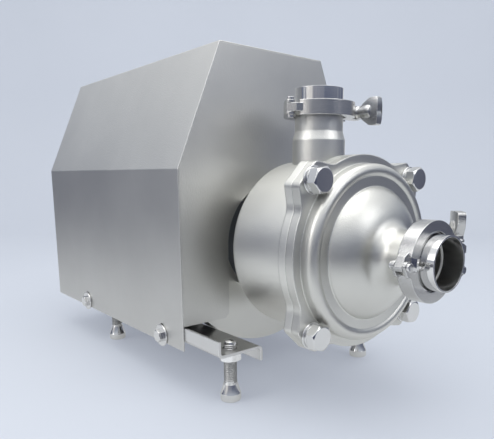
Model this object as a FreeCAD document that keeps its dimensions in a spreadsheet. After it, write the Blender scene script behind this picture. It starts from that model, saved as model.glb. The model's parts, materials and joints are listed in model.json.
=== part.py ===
import FreeCAD, Part

import math
import os

import Sketcher
from FreeCAD import Placement, Rotation, Vector

# Self-priming pump in millimetres.
# +X runs along the shaft towards the suction port, +Z is up, and the origin is on the floor
# under the shaft, midway between the rear of the shroud and the suction face.

SIZES = {
    # Shroud
    "shroud_length": 384,
    "shroud_half_width": 130,
    "roof_half_width": 75,
    "shroud_bottom": 46,
    "knee_height": 240,
    "roof_height": 372,
    "sheet": 1.5,
    "panel_bottom": 73,
    "panel_cut_radius": 68.6,
    "panel_cut_corner": 4,
    "clamp_slot_width": 9,
    "vent_width": 6,
    "vent_height": 90,
    "vent_pitch": 14,
    "vent_count": 9,
    # Rails and feet
    "rail_gap": 0.2,
    "rail_sheet": 3,
    "rail_web_width": 56,
    "rail_web_top": 57,
    "rail_flange_top": 71.5,
    "rail_lip_bottom": 40.4,
    "rail_bend": 2.5,
    "rail_overhang": 64,
    "rail_rear_inset": 6,
    "foot_y": 103,
    "foot_front": 48,
    "foot_rear": 231,
    "stud_radius": 7,
    "stud_clearance": 0.5,
    "stud_height": 66,
    "foot_radius": 10.9,
    "foot_rim": 8,
    "foot_cone": 10.6,
    "jam_nut_flats": 21,
    "jam_nut_height": 8,
    "side_screw_front": 46,
    "side_screw_rear": 264,
    "side_screw_height": 54,
    "side_screw_radius": 4,
    "side_screw_flats": 13,
    "side_screw_head": 5.3,
    "side_washer_radius": 12.5,
    "side_washer": 2,
    "clamp_block_length": 22,
    "clamp_block_depth": 18,
    "clamp_block_rise": 10,
    "lip_notch": 24,
    # Motor
    "shaft_height": 157,
    "motor_face_setback": 29,
    "motor_flange_radius": 125,
    "motor_flange": 12,
    "motor_spigot_radius": 90,
    "motor_spigot": 4,
    "barrel_radius": 88,
    "barrel_bore": 82,
    "barrel_start": 34,
    "barrel_length": 190,
    "fin_height": 10,
    "fin_width": 2.5,
    "fin_count": 28,
    "motor_foot_y": 80,
    "motor_foot_edge": 91,
    "motor_foot_first": 63,
    "motor_foot_spacing": 140,
    "motor_foot_length": 36,
    "motor_foot": 12,
    "motor_foot_web": 5.5,
    "motor_leg_outer": 0.45,
    "motor_leg_inner": 0.57,
    "motor_foot_bolt_radius": 5,
    "stator_bore": 52,
    "stator_start": 66,
    "stator_inset": 70,
    "winding_reach": 24,
    "air_gap": 0.5,
    "bearing_bore": 15,
    "bearing_radius": 31,
    "bearing_width": 16,
    "bearing_ring": 4,
    "shield_depth": 0.8,
    "running_gap": 0.05,
    "shaft_end_radius": 14,
    "shaft_end_length": 60,
    "rear_shield": 12,
    "fan_radius": 78,
    "fan_width": 22,
    "fan_hub_radius": 22,
    "fan_blades": 7,
    "cowl_radius": 99,
    "cowl_length": 96,
    "cowl_sheet": 1.5,
    "cowl_lug_width": 16,
    "cowl_edge": 8,
    "cowl_hole_inner": 26,
    "cowl_hole_outer": 72,
    "cowl_spoke": 20,
    "cowl_hole_count": 4,
    "cowl_eye": 12,
    "box_half_length": 45,
    "box_half_width": 42,
    "box_rise": 99,
    "box_wall": 3,
    "box_depth": 44,
    "lid_depth": 6,
    "gland_radius": 12,
    "gland_reach": 26,
    # Lantern
    "lantern_ring": 12,
    "lantern_bore": 67.5,
    "drum_radius": 66,
    "drum_wall": 6,
    "drum_flange": 8,
    "drum_flange_bore": 46,
    "window_half_height": 48,
    "flange_bolt_circle": 107.5,
    "flange_bolt_radius": 6,
    "drum_bolt_circle": 54,
    "drum_bolt_radius": 4,
    # Rear casing
    "casing_setback": 36,
    "casing_radius": 91,
    "casing_wall": 4,
    "casing_back": 9,
    "casing_rim": 6,
    "parting_offset": 126.5,
    "casing_flange": 10,
    "flange_radius": 96.8,
    "lobe_tip": 112,
    "lobe_tip_half": 15,
    "lobe_root": 92.8,
    "lobe_root_half": 28.4,
    "lobe_inset": 88.5,
    "lobe_round": 6,
    "lobe_fillet": 19.2,
    "lobe_fillet_reach": 5.8,
    "cover_bolt_circle": 102.2,
    "cover_bolt_radius": 8,
    "cover_bolt_clearance": 0.5,
    "cover_bolt_flats": 24,
    "cover_bolt_head": 10,
    "flat_washer": 2,
    "flat_washer_radius": 13.6,
    "spring_washer": 2.6,
    "spring_washer_radius": 12.6,
    "thread_gap": 0.05,
    "ring_groove_radius": 90.1,
    "ring_groove_width": 3.4,
    "ring_section": 1.5,
    "seal_bore": 22,
    "seal_seat_width": 10,
    "discharge_offset": 72,
    "discharge_rise": 165,
    "discharge_foot_radius": 27.9,
    "discharge_cone_start": 112.6,
    "discharge_cone_end": 121.5,
    # Front cover
    "cover_flange": 10,
    "cover_bore": 80,
    "cover_wall": 3.5,
    "bead_outer": 88,
    "bead_radius": 7,
    "bead_height": 15.5,
    "band_height": 13.5,
    "dome_radius": 65,
    "dome_step": 2,
    "dome_mid": 45,
    "dome_mid_radius": 37.15,
    "dome_crown": 50,
    "dome_flare": 15,
    "neck_start": 59.5,
    "neck_radius": 26,
    # Ports, ferrules and clamps
    "suction_reach": 233,
    "ferrule_length": 21.5,
    "tube_radius": 25.4,
    "tube_bore": 23.75,
    "ferrule_radius": 32,
    "ferrule_rim": 2.85,
    "ferrule_slope": 2,
    "joint_gasket": 1.6,
    "clamp_radius": 37.5,
    "clamp_half_width": 7.3,
    "clamp_bore": 27.5,
    "clamp_gap": 1.5,
    "hinge_cut": 9,
    "clamp_clearance": 0.3,
    "hinge_distance": 41,
    "hinge_pin_radius": 2.5,
    "knuckle_radius": 5,
    "pin_reach": 10,
    "swing_bolt_distance": 47,
    "swing_bolt_pivot": 13,
    "swing_bolt_radius": 3.5,
    "swing_bolt_reach": 40,
    "eye_radius": 6,
    "eye_half_width": 4,
    "ear_gap": 0.3,
    "ear_start": 3,
    "ear_seat": 13,
    "nut_root_radius": 8,
    "nut_tip_radius": 6.5,
    "nut_length": 12,
    "nut_nose": 3,
    "wing_reach": 14,
    "wing_length": 25,
    "wing_width": 7,
    # Turning parts of the pump
    "sleeve_radius": 20,
    "pump_shaft_radius": 13,
    "pump_shaft_end_radius": 9,
    "clamp_ring_radius": 32,
    "clamp_ring_width": 20,
    "seal_ring_radius": 19,
    "seal_ring_width": 10,
    "seal_bellows_length": 14,
    "seal_bellows_folds": 2,
    "seal_bellows_depth": 3,
    "seal_bellows_wall": 1.6,
    "impeller_radius": 58,
    "impeller_setback": 26,
    "impeller_disc": 4,
    "impeller_hub_radius": 15,
    "impeller_hub_length": 22,
    "vane_width": 3,
    "vane_count": 6,
    "impeller_nut_length": 18,
    "volute_radius": 69,
    "volute_wall": 3,
    "volute_length": 34,
    "volute_flange_radius": 86.5,
    "volute_flange": 4,
    "volute_hub_bore": 18,
    "wear_ring": 4,
    "wear_ring_bore": 26,
    "impeller_clearance": 1,
}

doc = FreeCAD.newDocument("self_priming_pump")
sheet = doc.addObject("Spreadsheet::Sheet", "sizes")
NODES = []


class Size:
    """A length that follows the sheet: the text of its formula and its present value."""

    def __init__(self, text, value):
        self.text = text
        self.value = value

    def __add__(self, other):
        other = as_size(other)
        return Size(f"({self.text} + {other.text})", self.value + other.value)

    def __sub__(self, other):
        other = as_size(other)
        return Size(f"({self.text} - {other.text})", self.value - other.value)

    def __mul__(self, other):
        other = as_size(other)
        return Size(f"({self.text} * {other.text})", self.value * other.value)

    def __truediv__(self, other):
        other = as_size(other)
        return Size(f"({self.text} / {other.text})", self.value / other.value)

    def __rsub__(self, other):
        return as_size(other) - self

    def __neg__(self):
        return as_size(-1) * self

    __radd__ = __add__
    __rmul__ = __mul__


def as_size(item):
    """Turns a plain number into a Size and leaves a Size as it is."""
    return item if isinstance(item, Size) else Size(f"({float(item)})", float(item))


def root(size):
    """The square root of a Size."""
    return Size(f"sqrt({size.text})", math.sqrt(size.value))


class Named:
    """The driving sizes, each under its own name."""


def fill_sheet():
    """Writes each driving size into its own cell with its name as alias."""
    named = Named()
    for row, (name, value) in enumerate(SIZES.items(), start=1):
        sheet.set(f"A{row}", name)
        sheet.set(f"B{row}", str(value))
        sheet.setAlias(f"B{row}", name)
        setattr(named, name, Size(f"sizes.{name}", float(value)))
    sheet.recompute()
    return named


d = fill_sheet()

# Stations along X that several pieces share
panel_x = (d.shroud_length - d.suction_reach) / 2
shroud_rear = panel_x - d.shroud_length
motor_face = panel_x - d.motor_face_setback
ring_front = motor_face + d.lantern_ring
casing_rear = panel_x + d.casing_setback
parting_x = panel_x + d.parting_offset
suction_joint = panel_x + d.suction_reach - d.ferrule_length
discharge_x = panel_x + d.discharge_offset
discharge_joint = d.shaft_height + d.discharge_rise - d.ferrule_length
rail_outer = d.shroud_half_width - d.sheet - d.rail_gap
rail_front = panel_x + d.rail_overhang
rail_rear = shroud_rear + d.rail_rear_inset
foot_stations = (panel_x + d.foot_front, panel_x - d.foot_rear)
screw_stations = (panel_x - d.side_screw_front, panel_x - d.side_screw_rear)
motor_foot_stations = (motor_face - d.motor_foot_first,
                       motor_face - d.motor_foot_first - d.motor_foot_spacing)
rear_shield_front = -(d.barrel_start + d.barrel_length)
stator_rear = -(d.stator_start + d.barrel_length - d.stator_inset)
box_bottom = d.shaft_height + d.box_rise
impeller_back = parting_x - d.impeller_setback
half_root = math.sqrt(0.5)


def bind(item, name, size):
    """Ties one property of an object to its formula."""
    item.setExpression(name, as_size(size).text)


def body(label, x=0, y=0, z=0, rotation=None):
    """A sub-part with its own label and placement."""
    made = doc.addObject("PartDesign::Body", label)
    made.Label = label
    made.AllowCompound = True
    place(made, x, y, z, rotation)
    return made


def place(item, x=0, y=0, z=0, rotation=None):
    """Puts an object at a point whose coordinates follow the sheet."""
    spot = [as_size(value) for value in (x, y, z)]
    item.Placement = Placement(Vector(*[value.value for value in spot]), rotation or Rotation())
    for axis, value in zip("xyz", spot):
        if "sizes" in value.text:
            bind(item, f"Placement.Base.{axis}", value)


def origin_feature(owner, role):
    """One of the body's own origin planes or axes."""
    return next(item for item in owner.Origin.OriginFeatures if item.Role == role)


def sketch(owner, plane, offset=0, shift=0, lift=0):
    """A sketch on one of the body's planes, moved along the normal and within the plane."""
    made = owner.newObject("Sketcher::SketchObject", owner.Name + "_sketch")
    made.AttachmentSupport = [(origin_feature(owner, plane), "")]
    made.MapMode = "FlatFace"
    spot = [as_size(value) for value in (shift, lift, offset)]
    made.AttachmentOffset = Placement(Vector(*[value.value for value in spot]), Rotation())
    for axis, value in zip("xyz", spot):
        if "sizes" in value.text:
            bind(made, f"AttachmentOffset.Base.{axis}", value)
    return made


def arc_between(start, end, radius):
    """The shorter arc from start to end: a positive radius turns left, a negative one right."""
    chord = end - start
    height = math.sqrt(max(radius * radius - chord.Length ** 2 / 4, 0))
    side = Vector(-chord.y, chord.x, 0).normalize() * (height if radius > 0 else -height)
    centre = (start + end) / 2 + side
    first, last = (start, end) if radius > 0 else (end, start)
    angles = [math.atan2(point.y - centre.y, point.x - centre.x) for point in (first, last)]
    return Part.ArcOfCircle(Part.Circle(centre, Vector(0, 0, 1), abs(radius)), *angles)


def pin_point(rules, bound, geometry, position, u, v):
    """Holds a sketch point at (u, v); plain zeros lie on the sketch's axes."""
    for kind, value, axis in (("DistanceX", u, -2), ("DistanceY", v, -1)):
        if not isinstance(value, Size) and value == 0:
            rules.append(Sketcher.Constraint("PointOnObject", geometry, position, axis))
            continue
        value = as_size(value)
        rules.append(Sketcher.Constraint(kind, -1, 1, geometry, position, value.value))
        bound.append((len(rules) - 1, value))


def outline(target, corners):
    """Draws a closed outline through (u, v) or (u, v, radius) corners."""
    points = [Vector(as_size(c[0]).value, as_size(c[1]).value, 0) for c in corners]
    start = target.GeometryCount
    first_rule = target.ConstraintCount
    geometry, rules, bound, ends = [], [], [], []
    for i, corner in enumerate(corners):
        a, b = points[i], points[(i + 1) % len(points)]
        if len(corner) == 3:
            radius = as_size(corner[2])
            geometry.append(arc_between(a, b, radius.value))
            ends.append((1, 2) if radius.value > 0 else (2, 1))
        else:
            geometry.append(Part.LineSegment(a, b))
            ends.append((1, 2))
    for i, corner in enumerate(corners):
        after = (i + 1) % len(corners)
        rules.append(Sketcher.Constraint("Coincident", start + i, ends[i][1], start + after, ends[after][0]))
        pin_point(rules, bound, start + i, ends[i][0], corner[0], corner[1])
        if len(corner) == 3:
            radius = as_size(corner[2])
            size = radius if radius.value > 0 else -radius
            rules.append(Sketcher.Constraint("Radius", start + i, size.value))
            bound.append((len(rules) - 1, size))
    target.addGeometry(geometry, False)
    target.addConstraint(rules)
    for index, value in bound:
        if "sizes" in value.text:
            bind(target, f"Constraints[{first_rule + index}]", value)
    return target


def circle(target, u, v, radius):
    """Draws a circle in a sketch."""
    first_rule = target.ConstraintCount
    number = target.GeometryCount
    radius = as_size(radius)
    centre = Vector(as_size(u).value, as_size(v).value, 0)
    rules, bound = [], []
    pin_point(rules, bound, number, 3, u, v)
    rules.append(Sketcher.Constraint("Radius", number, radius.value))
    bound.append((len(rules) - 1, radius))
    target.addGeometry([Part.Circle(centre, Vector(0, 0, 1), radius.value)], False)
    target.addConstraint(rules)
    for index, value in bound:
        if "sizes" in value.text:
            bind(target, f"Constraints[{first_rule + index}]", value)
    return target


def rectangle(target, u0, v0, u1, v1):
    """Draws a rectangle between two opposite corners."""
    return outline(target, [(u0, v0), (u1, v0), (u1, v1), (u0, v1)])


def hexagon(target, flats, turn=30, u=0, v=0):
    """Draws a hexagon by the distance across its flats."""
    corner = as_size(flats) / math.sqrt(3)
    angles = [math.radians(turn + 60 * i) for i in range(6)]
    return outline(target, [(u + corner * math.cos(a), v + corner * math.sin(a)) for a in angles])


def feature(owner, kind, profile):
    """Adds one PartDesign feature with its profile."""
    made = owner.newObject(kind, f"{owner.Name}_{kind.split('::')[1]}")
    made.Profile = profile
    return made


def extrude(owner, kind, profile, length, backward=False):
    """A pad or pocket of the given length along the sketch's normal, or against it."""
    made = feature(owner, kind, profile)
    made.Length = as_size(length).value
    bind(made, "Length", length)
    made.Reversed = backward
    return made


def pad(profile, length, backward=False):
    """Adds material along the sketch's normal."""
    return extrude(profile.getParentGeoFeatureGroup(), "PartDesign::Pad", profile, length, backward)


def pocket(profile, length, forward=True):
    """Cuts along the sketch's normal, or against it."""
    return extrude(profile.getParentGeoFeatureGroup(), "PartDesign::Pocket", profile, length, forward)


def turn(profile, axis="H_Axis", cut=False, angle=360):
    """Revolves a profile about its sketch's own axis."""
    owner = profile.getParentGeoFeatureGroup()
    made = feature(owner, "PartDesign::Groove" if cut else "PartDesign::Revolution", profile)
    made.ReferenceAxis = (profile, [axis])
    made.Angle = angle
    return made


def around(owner, features, count, role="X_Axis"):
    """Repeats features evenly about one of the body's axes."""
    made = owner.newObject("PartDesign::PolarPattern", owner.Name + "_pattern")
    made.Originals = features
    made.Axis = (origin_feature(owner, role), [""])
    made.Angle = 360
    made.Occurrences = int(as_size(count).value)
    if isinstance(count, Size):
        bind(made, "Occurrences", count)
    owner.Tip = made
    return made


def along(owner, features, count, length, role="Y_Axis"):
    """Repeats features evenly over a length along one of the body's axes."""
    made = owner.newObject("PartDesign::LinearPattern", owner.Name + "_row")
    made.Originals = features
    made.Direction = (origin_feature(owner, role), [""])
    made.Length = as_size(length).value
    bind(made, "Length", length)
    made.Occurrences = int(as_size(count).value)
    if isinstance(count, Size):
        bind(made, "Occurrences", count)
    owner.Tip = made
    return made


def keep(*items):
    """Lists finished sub-parts for writing."""
    NODES.extend(items)


def turned(label, corners, x=0, z=None):
    """A piece turned about the shaft's line, from an (x, radius) outline."""
    made = body(label, x, 0, d.shaft_height if z is None else z)
    turn(outline(sketch(made, "XY_Plane"), corners))
    return made


def tube(x0, x1, inner, outer):
    """The (x, radius) outline of a plain ring."""
    return [(x0, inner), (x1, inner), (x1, outer), (x0, outer)]


def group(label, pieces):
    """One sub-part that holds several separate solids."""
    made = doc.addObject("Part::Compound", label)
    made.Label = label
    made.Links = pieces
    keep(made)
    return made


def diagonal(distance, across):
    """Sketch coordinates of a point seen along the 45 degree line and across it."""
    return ((distance - across) * half_root, (distance + across) * half_root)


# Rails: folded Z sections with tapped blocks for the side screws


def rail(label, side):
    """One rail; side is -1 for the left one and +1 for the right one."""
    web_bottom = d.rail_web_top - d.rail_sheet
    outer = d.rail_bend + d.rail_sheet
    inner_edge = rail_outer - d.rail_web_width
    corners = [
        (rail_outer, d.rail_flange_top),
        (rail_outer, web_bottom + outer, -outer),
        (rail_outer - outer, web_bottom),
        (inner_edge + outer, web_bottom, d.rail_bend),
        (inner_edge + d.rail_sheet, web_bottom - d.rail_bend),
        (inner_edge + d.rail_sheet, d.rail_lip_bottom),
        (inner_edge, d.rail_lip_bottom),
        (inner_edge, d.rail_web_top - outer, -outer),
        (inner_edge + outer, d.rail_web_top),
        (rail_outer - outer, d.rail_web_top, d.rail_bend),
        (rail_outer - d.rail_sheet, d.rail_web_top + d.rail_bend),
        (rail_outer - d.rail_sheet, d.rail_flange_top),
    ]
    made = body(label)
    placed = [(side * c[0], c[1], side * c[2]) if len(c) == 3 else (side * c[0], c[1]) for c in corners]
    pad(outline(sketch(made, "YZ_Plane", rail_rear), placed), rail_front - rail_rear)
    for station in screw_stations:
        block = sketch(made, "YZ_Plane", station - d.clamp_block_length / 2)
        low = d.side_screw_height - (d.rail_web_top - d.side_screw_height) * 2.5
        rectangle(block, side * rail_outer, low, side * (rail_outer - d.clamp_block_depth),
                  d.side_screw_height + d.clamp_block_rise)
        pad(block, d.clamp_block_length)
    holes = sketch(made, "XY_Plane", d.rail_lip_bottom)
    for station in foot_stations:
        circle(holes, station, side * d.foot_y, d.stud_radius + d.stud_clearance)
    for station in motor_foot_stations:
        circle(holes, station, side * d.motor_foot_y, d.motor_foot_bolt_radius + d.stud_clearance)
    pocket(holes, d.rail_web_top - d.rail_lip_bottom)
    taps = sketch(made, "XZ_Plane", -side * rail_outer)
    for station in screw_stations:
        circle(taps, station, d.side_screw_height, d.side_screw_radius + d.thread_gap)
    pocket(taps, d.clamp_block_depth, side > 0)
    notches = sketch(made, "XY_Plane", d.rail_lip_bottom)
    for station in motor_foot_stations:
        half = d.lip_notch / 2
        rectangle(notches, station - half, side * (inner_edge - 1), station + half, side * (inner_edge + outer))
    pocket(notches, web_bottom - d.rail_lip_bottom)
    keep(made)


# Levelling feet: a threaded stud with a domed top on a conical foot


def levelling_foot(label, x, y):
    """One foot, turned about its own vertical axis."""
    made = body(label, x, y, 0)
    rim, radius = d.foot_rim, d.foot_radius
    edge = 1.5
    dome = d.stud_radius * 0.3
    corners = [
        (0, 0),
        (radius - edge, 0),
        (radius, edge),
        (radius, rim),
        (d.stud_radius + edge / 2, rim + d.foot_cone),
        (d.stud_radius, rim + d.foot_cone),
        (d.stud_radius, d.stud_height - dome),
        (d.stud_radius - dome, d.stud_height),
        (0, d.stud_height),
    ]
    turn(outline(sketch(made, "XZ_Plane"), corners), "V_Axis")
    keep(made)


def hex_ring(label, flats, height, bore, x, y, z):
    """A plain hexagon nut standing on its face."""
    made = body(label, x, y, z)
    face = hexagon(sketch(made, "XY_Plane"), flats, 0)
    circle(face, 0, 0, bore)
    pad(face, height)
    return made


def jam_nuts():
    """The four nuts that lock the feet under the rails."""
    low = d.rail_web_top - d.rail_sheet - d.jam_nut_height
    nuts = []
    for station in foot_stations:
        for side in (-1, 1):
            nuts.append(hex_ring("jam_nut", d.jam_nut_flats, d.jam_nut_height,
                                 d.stud_radius + d.running_gap, station, side * d.foot_y, low))
    group("foot_jam_nuts", nuts)


# Side screws: clamp the shroud's open slots against the rails


def side_fasteners():
    """Hexagon screws and large washers on both sides."""
    screws, washers = [], []
    for station in screw_stations:
        for side in (-1, 1):
            facing = Rotation(Vector(1, 0, 0), 90 if side < 0 else -90)
            seat = side * (d.shroud_half_width + d.rail_gap)
            washer = body("side_washer", station, seat, d.side_screw_height, facing)
            face = circle(sketch(washer, "XY_Plane"), 0, 0, d.side_washer_radius)
            circle(face, 0, 0, d.side_screw_radius + d.stud_clearance)
            pad(face, d.side_washer)
            washers.append(washer)
            screw = body("side_screw", station, seat, d.side_screw_height, facing)
            pad(hexagon(sketch(screw, "XY_Plane", d.side_washer), d.side_screw_flats), d.side_screw_head)
            shank = d.side_washer + d.sheet + d.rail_gap * 2 + d.clamp_block_depth
            pad(circle(sketch(screw, "XY_Plane", d.side_washer), 0, 0, d.side_screw_radius), shank, True)
            screws.append(screw)
    group("side_screws", screws)
    group("side_washers", washers)


# Shroud: folded cover with front and rear panels


def shroud_points(inset):
    """Corners of the shroud's section, moved inwards by the given amount."""
    run = d.shroud_half_width - d.roof_half_width
    rise = d.roof_height - d.knee_height
    slope = root(run * run + rise * rise)
    knee = d.knee_height - inset * (slope - rise) / run
    roof = d.roof_half_width - inset * (slope - run) / rise
    return d.shroud_half_width - inset, knee, roof, d.roof_height - inset


def shroud_cover():
    """Sides, slanted faces and roof from one sheet, with open slots for the side screws."""
    made = body("shroud_cover")
    wide, knee, roof, top = shroud_points(as_size(0))
    wide2, knee2, roof2, top2 = shroud_points(d.sheet)
    low = d.shroud_bottom
    corners = [(-wide, low), (-wide, knee), (-roof, top), (roof, top), (wide, knee), (wide, low),
               (wide2, low), (wide2, knee2), (roof2, top2), (-roof2, top2), (-wide2, knee2), (-wide2, low)]
    pad(outline(sketch(made, "YZ_Plane", shroud_rear), corners), d.shroud_length)
    slots = sketch(made, "XZ_Plane", -d.shroud_half_width - 1)
    half = d.clamp_slot_width / 2
    for station in screw_stations:
        crown = d.side_screw_height + d.clamp_slot_width
        outline(slots, [(station - half, low - 1), (station + half, low - 1),
                        (station + half, crown, half), (station, crown + half, half),
                        (station - half, crown)])
    pocket(slots, d.shroud_half_width * 2 + 2)
    keep(made)


def end_panel(label, x):
    """The blank of an end panel, seated inside the folded cover."""
    made = body(label, x)
    wide, knee, roof, top = shroud_points(d.sheet)
    low = d.panel_bottom
    blank = outline(sketch(made, "YZ_Plane"), [(-wide, low), (wide, low), (wide, knee), (roof, top),
                                               (-roof, top), (-wide, knee)])
    pad(blank, d.sheet)
    keep(made)
    return made


def shroud_front_panel():
    """Front panel with a cut, open at the bottom, that clears the lantern."""
    made = end_panel("shroud_front_panel", panel_x - d.sheet)
    cut, radius, low = sketch(made, "YZ_Plane"), d.panel_cut_radius, d.panel_bottom
    corner = d.panel_cut_corner
    outline(cut, [(-radius - corner, low - 1), (radius + corner, low - 1), (radius + corner, low, corner),
                  (radius, low + corner), (radius, d.shaft_height, radius),
                  (0, d.shaft_height + radius, radius), (-radius, d.shaft_height),
                  (-radius, low + corner, corner), (-radius - corner, low)])
    pocket(cut, d.sheet)


def shroud_rear_panel():
    """Rear panel with a row of upright air slots for the motor's fan."""
    made = end_panel("shroud_rear_panel", shroud_rear)
    half, low = d.vent_width / 2, d.shaft_height - d.vent_height / 2
    high = low + d.vent_height
    first = -d.vent_pitch * (d.vent_count - 1) / 2
    slot = sketch(made, "YZ_Plane")
    outline(slot, [(first - half, low), (first, low - half), (first + half, low),
                   (first + half, high), (first, high + half), (first - half, high)])
    cut = pocket(slot, d.sheet)
    along(made, [cut], d.vent_count, d.vent_pitch * (d.vent_count - 1))


# Motor: fixed pieces


def motor_housing():
    """Finned barrel with feet and the seat of the terminal box."""
    start = motor_face - d.barrel_start - d.barrel_length
    made = body("motor_housing", start, 0, d.shaft_height)
    turn(outline(sketch(made, "XY_Plane"), tube(0, d.barrel_length, 0, d.barrel_radius)))
    fin = sketch(made, "YZ_Plane")
    rectangle(fin, d.barrel_radius - 2, -d.fin_width / 2, d.barrel_radius + d.fin_height, d.fin_width / 2)
    around(made, [pad(fin, d.barrel_length)], d.fin_count)
    seat = sketch(made, "XY_Plane", d.barrel_bore - 4)
    middle = d.barrel_length / 2
    rectangle(seat, middle - d.box_half_length, -d.box_half_width, middle + d.box_half_length, d.box_half_width)
    pad(seat, d.box_rise - d.barrel_bore + 4)
    floor = d.rail_web_top - d.shaft_height
    inner = d.motor_foot_y * 2 - d.motor_foot_edge - 4
    upright = inner + d.motor_foot_web
    for station in motor_foot_stations:
        for side in (-1, 1):
            leg = sketch(made, "YZ_Plane", station - start - d.motor_foot_length / 2)
            outline(leg, [(side * inner, floor), (side * d.motor_foot_edge, floor),
                          (side * d.motor_foot_edge, floor + d.motor_foot),
                          (side * upright, floor + d.motor_foot),
                          (side * upright, -d.barrel_radius * d.motor_leg_outer),
                          (side * inner, -d.barrel_radius * d.motor_leg_inner)])
            pad(leg, d.motor_foot_length)
            pit = sketch(made, "XY_Plane", floor)
            circle(pit, station - start, side * d.motor_foot_y, d.motor_foot_bolt_radius + d.stud_clearance)
            pocket(pit, d.motor_foot)
    turn(outline(sketch(made, "XY_Plane"), tube(0, d.barrel_length, 0, d.barrel_bore)), cut=True)
    keep(made)


def motor_foot_bolts():
    """Bolts and nuts that hold the motor's feet on the rails."""
    pieces = []
    top = d.rail_web_top + d.motor_foot
    radius = d.motor_foot_bolt_radius
    for station in motor_foot_stations:
        for side in (-1, 1):
            bolt = body("motor_foot_bolt", station, side * d.motor_foot_y, top)
            pad(hexagon(sketch(bolt, "XY_Plane"), radius * 3.2, 0), radius * 1.2)
            grip = d.motor_foot + d.rail_sheet + radius * 2
            pad(circle(sketch(bolt, "XY_Plane"), 0, 0, radius), grip, True)
            nut = hex_ring("motor_foot_nut", radius * 3.2, radius * 1.6, radius + d.thread_gap,
                           station, side * d.motor_foot_y, d.rail_web_top - d.rail_sheet - radius * 1.6)
            pieces += [bolt, nut]
    group("motor_foot_bolts", pieces)


def motor_front_shield():
    """Flange shield: round flange with spigot and the front bearing's seat."""
    back = -d.barrel_start
    seat = d.bearing_radius
    corners = [
        (back - 8, d.barrel_bore - 6), (back - 8, d.barrel_bore), (back, d.barrel_bore),
        (back, d.barrel_radius), (-d.motor_flange, d.barrel_radius),
        (-d.motor_flange, d.motor_flange_radius), (0, d.motor_flange_radius),
        (0, d.motor_spigot_radius), (d.motor_spigot, d.motor_spigot_radius),
        (d.motor_spigot, d.motor_spigot_radius - 14), (-d.motor_flange, d.motor_spigot_radius - 14),
        (-d.motor_flange, d.bearing_bore + 3), (-d.motor_flange - 5, d.bearing_bore + 3),
        (-d.motor_flange - 5, seat), (-d.motor_flange - 5 - d.bearing_width, seat),
        (-d.motor_flange - 5 - d.bearing_width, seat + 8), (-d.motor_flange - 8, seat + 8),
        (-d.motor_flange - 8, d.barrel_bore - 6),
    ]
    made = turned("motor_front_shield", corners, motor_face)
    for_bolts = sketch(made, "YZ_Plane", -d.motor_flange)
    spot = d.flange_bolt_circle * half_root
    circle(for_bolts, spot, spot, d.flange_bolt_radius + d.stud_clearance)
    around(made, [pocket(for_bolts, d.motor_flange)], 4)
    keep(made)


def lantern_bolts():
    """Screws that hold the lantern's ring on the motor flange."""
    made = body("lantern_bolts", motor_face - d.motor_flange, 0, d.shaft_height)
    spot = d.flange_bolt_circle * half_root
    radius = d.flange_bolt_radius
    head = pad(hexagon(sketch(made, "YZ_Plane"), radius * 3, 0, spot, spot), radius * 1.25, True)
    shank = pad(circle(sketch(made, "YZ_Plane"), spot, spot, radius), d.motor_flange + d.lantern_ring - 3)
    around(made, [head, shank], 4)
    keep(made)


def motor_rear_shield():
    """Rear shield with the rear bearing's seat, in front of the fan."""
    front, seat = rear_shield_front, d.bearing_radius
    corners = [
        (front + 6, d.barrel_bore - 5), (front + 6, d.barrel_bore), (front, d.barrel_bore),
        (front, d.barrel_radius), (front - d.rear_shield, d.barrel_radius),
        (front - d.rear_shield, d.bearing_bore + 3), (front - d.rear_shield + 4, d.bearing_bore + 3),
        (front - d.rear_shield + 4, seat), (front - d.rear_shield + 4 + d.bearing_width, seat),
        (front - d.rear_shield + 4 + d.bearing_width, seat + 7), (front, seat + 9),
        (front, d.barrel_bore - 5),
    ]
    made = turned("motor_rear_shield", corners, motor_face)
    lug = sketch(made, "YZ_Plane", front - d.rear_shield)
    inside, half = d.cowl_radius - d.cowl_sheet, d.cowl_lug_width / 2
    reach = root(inside * inside - half * half) * half_root
    side = half * half_root
    low = (d.barrel_radius - 2) * half_root
    outline(lug, [(low + side, low - side), (reach + side, reach - side, inside),
                  (reach - side, reach + side), (low - side, low + side)])
    around(made, [pad(lug, d.rear_shield)], 4)
    keep(made)


def stator():
    """Laminated core and the rounded ends of its windings."""
    rear = stator_rear
    keep(turned("stator_core", tube(rear, -d.stator_start, d.stator_bore, d.barrel_bore), motor_face))
    made = body("stator_windings", motor_face, 0, d.shaft_height)
    inner, outer, reach = d.stator_bore + 3, d.barrel_bore - 6, d.winding_reach
    mouth = (outer - inner) / 4
    for foot, out in ((-d.stator_start, 1), (rear, -1)):
        tip = foot + out * reach
        turn(outline(sketch(made, "XY_Plane"), [
            (foot, inner), (foot, outer), (tip - out * mouth, outer), (tip, outer - mouth), (tip, inner)]))
    keep(made)


def bearing(label, station):
    """Shielded ball bearing: two rings with the sunk shields between them."""
    half = d.bearing_width / 2
    low = d.bearing_bore + d.bearing_ring
    high = d.bearing_radius - d.bearing_ring
    sunk = half - d.shield_depth
    bore = d.bearing_bore + d.running_gap
    keep(turned(label, [
        (-half, bore), (-half, low), (-sunk, low), (-sunk, high), (-half, high),
        (-half, d.bearing_radius), (half, d.bearing_radius), (half, high), (sunk, high), (sunk, low),
        (half, low), (half, bore)], station))


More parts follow.
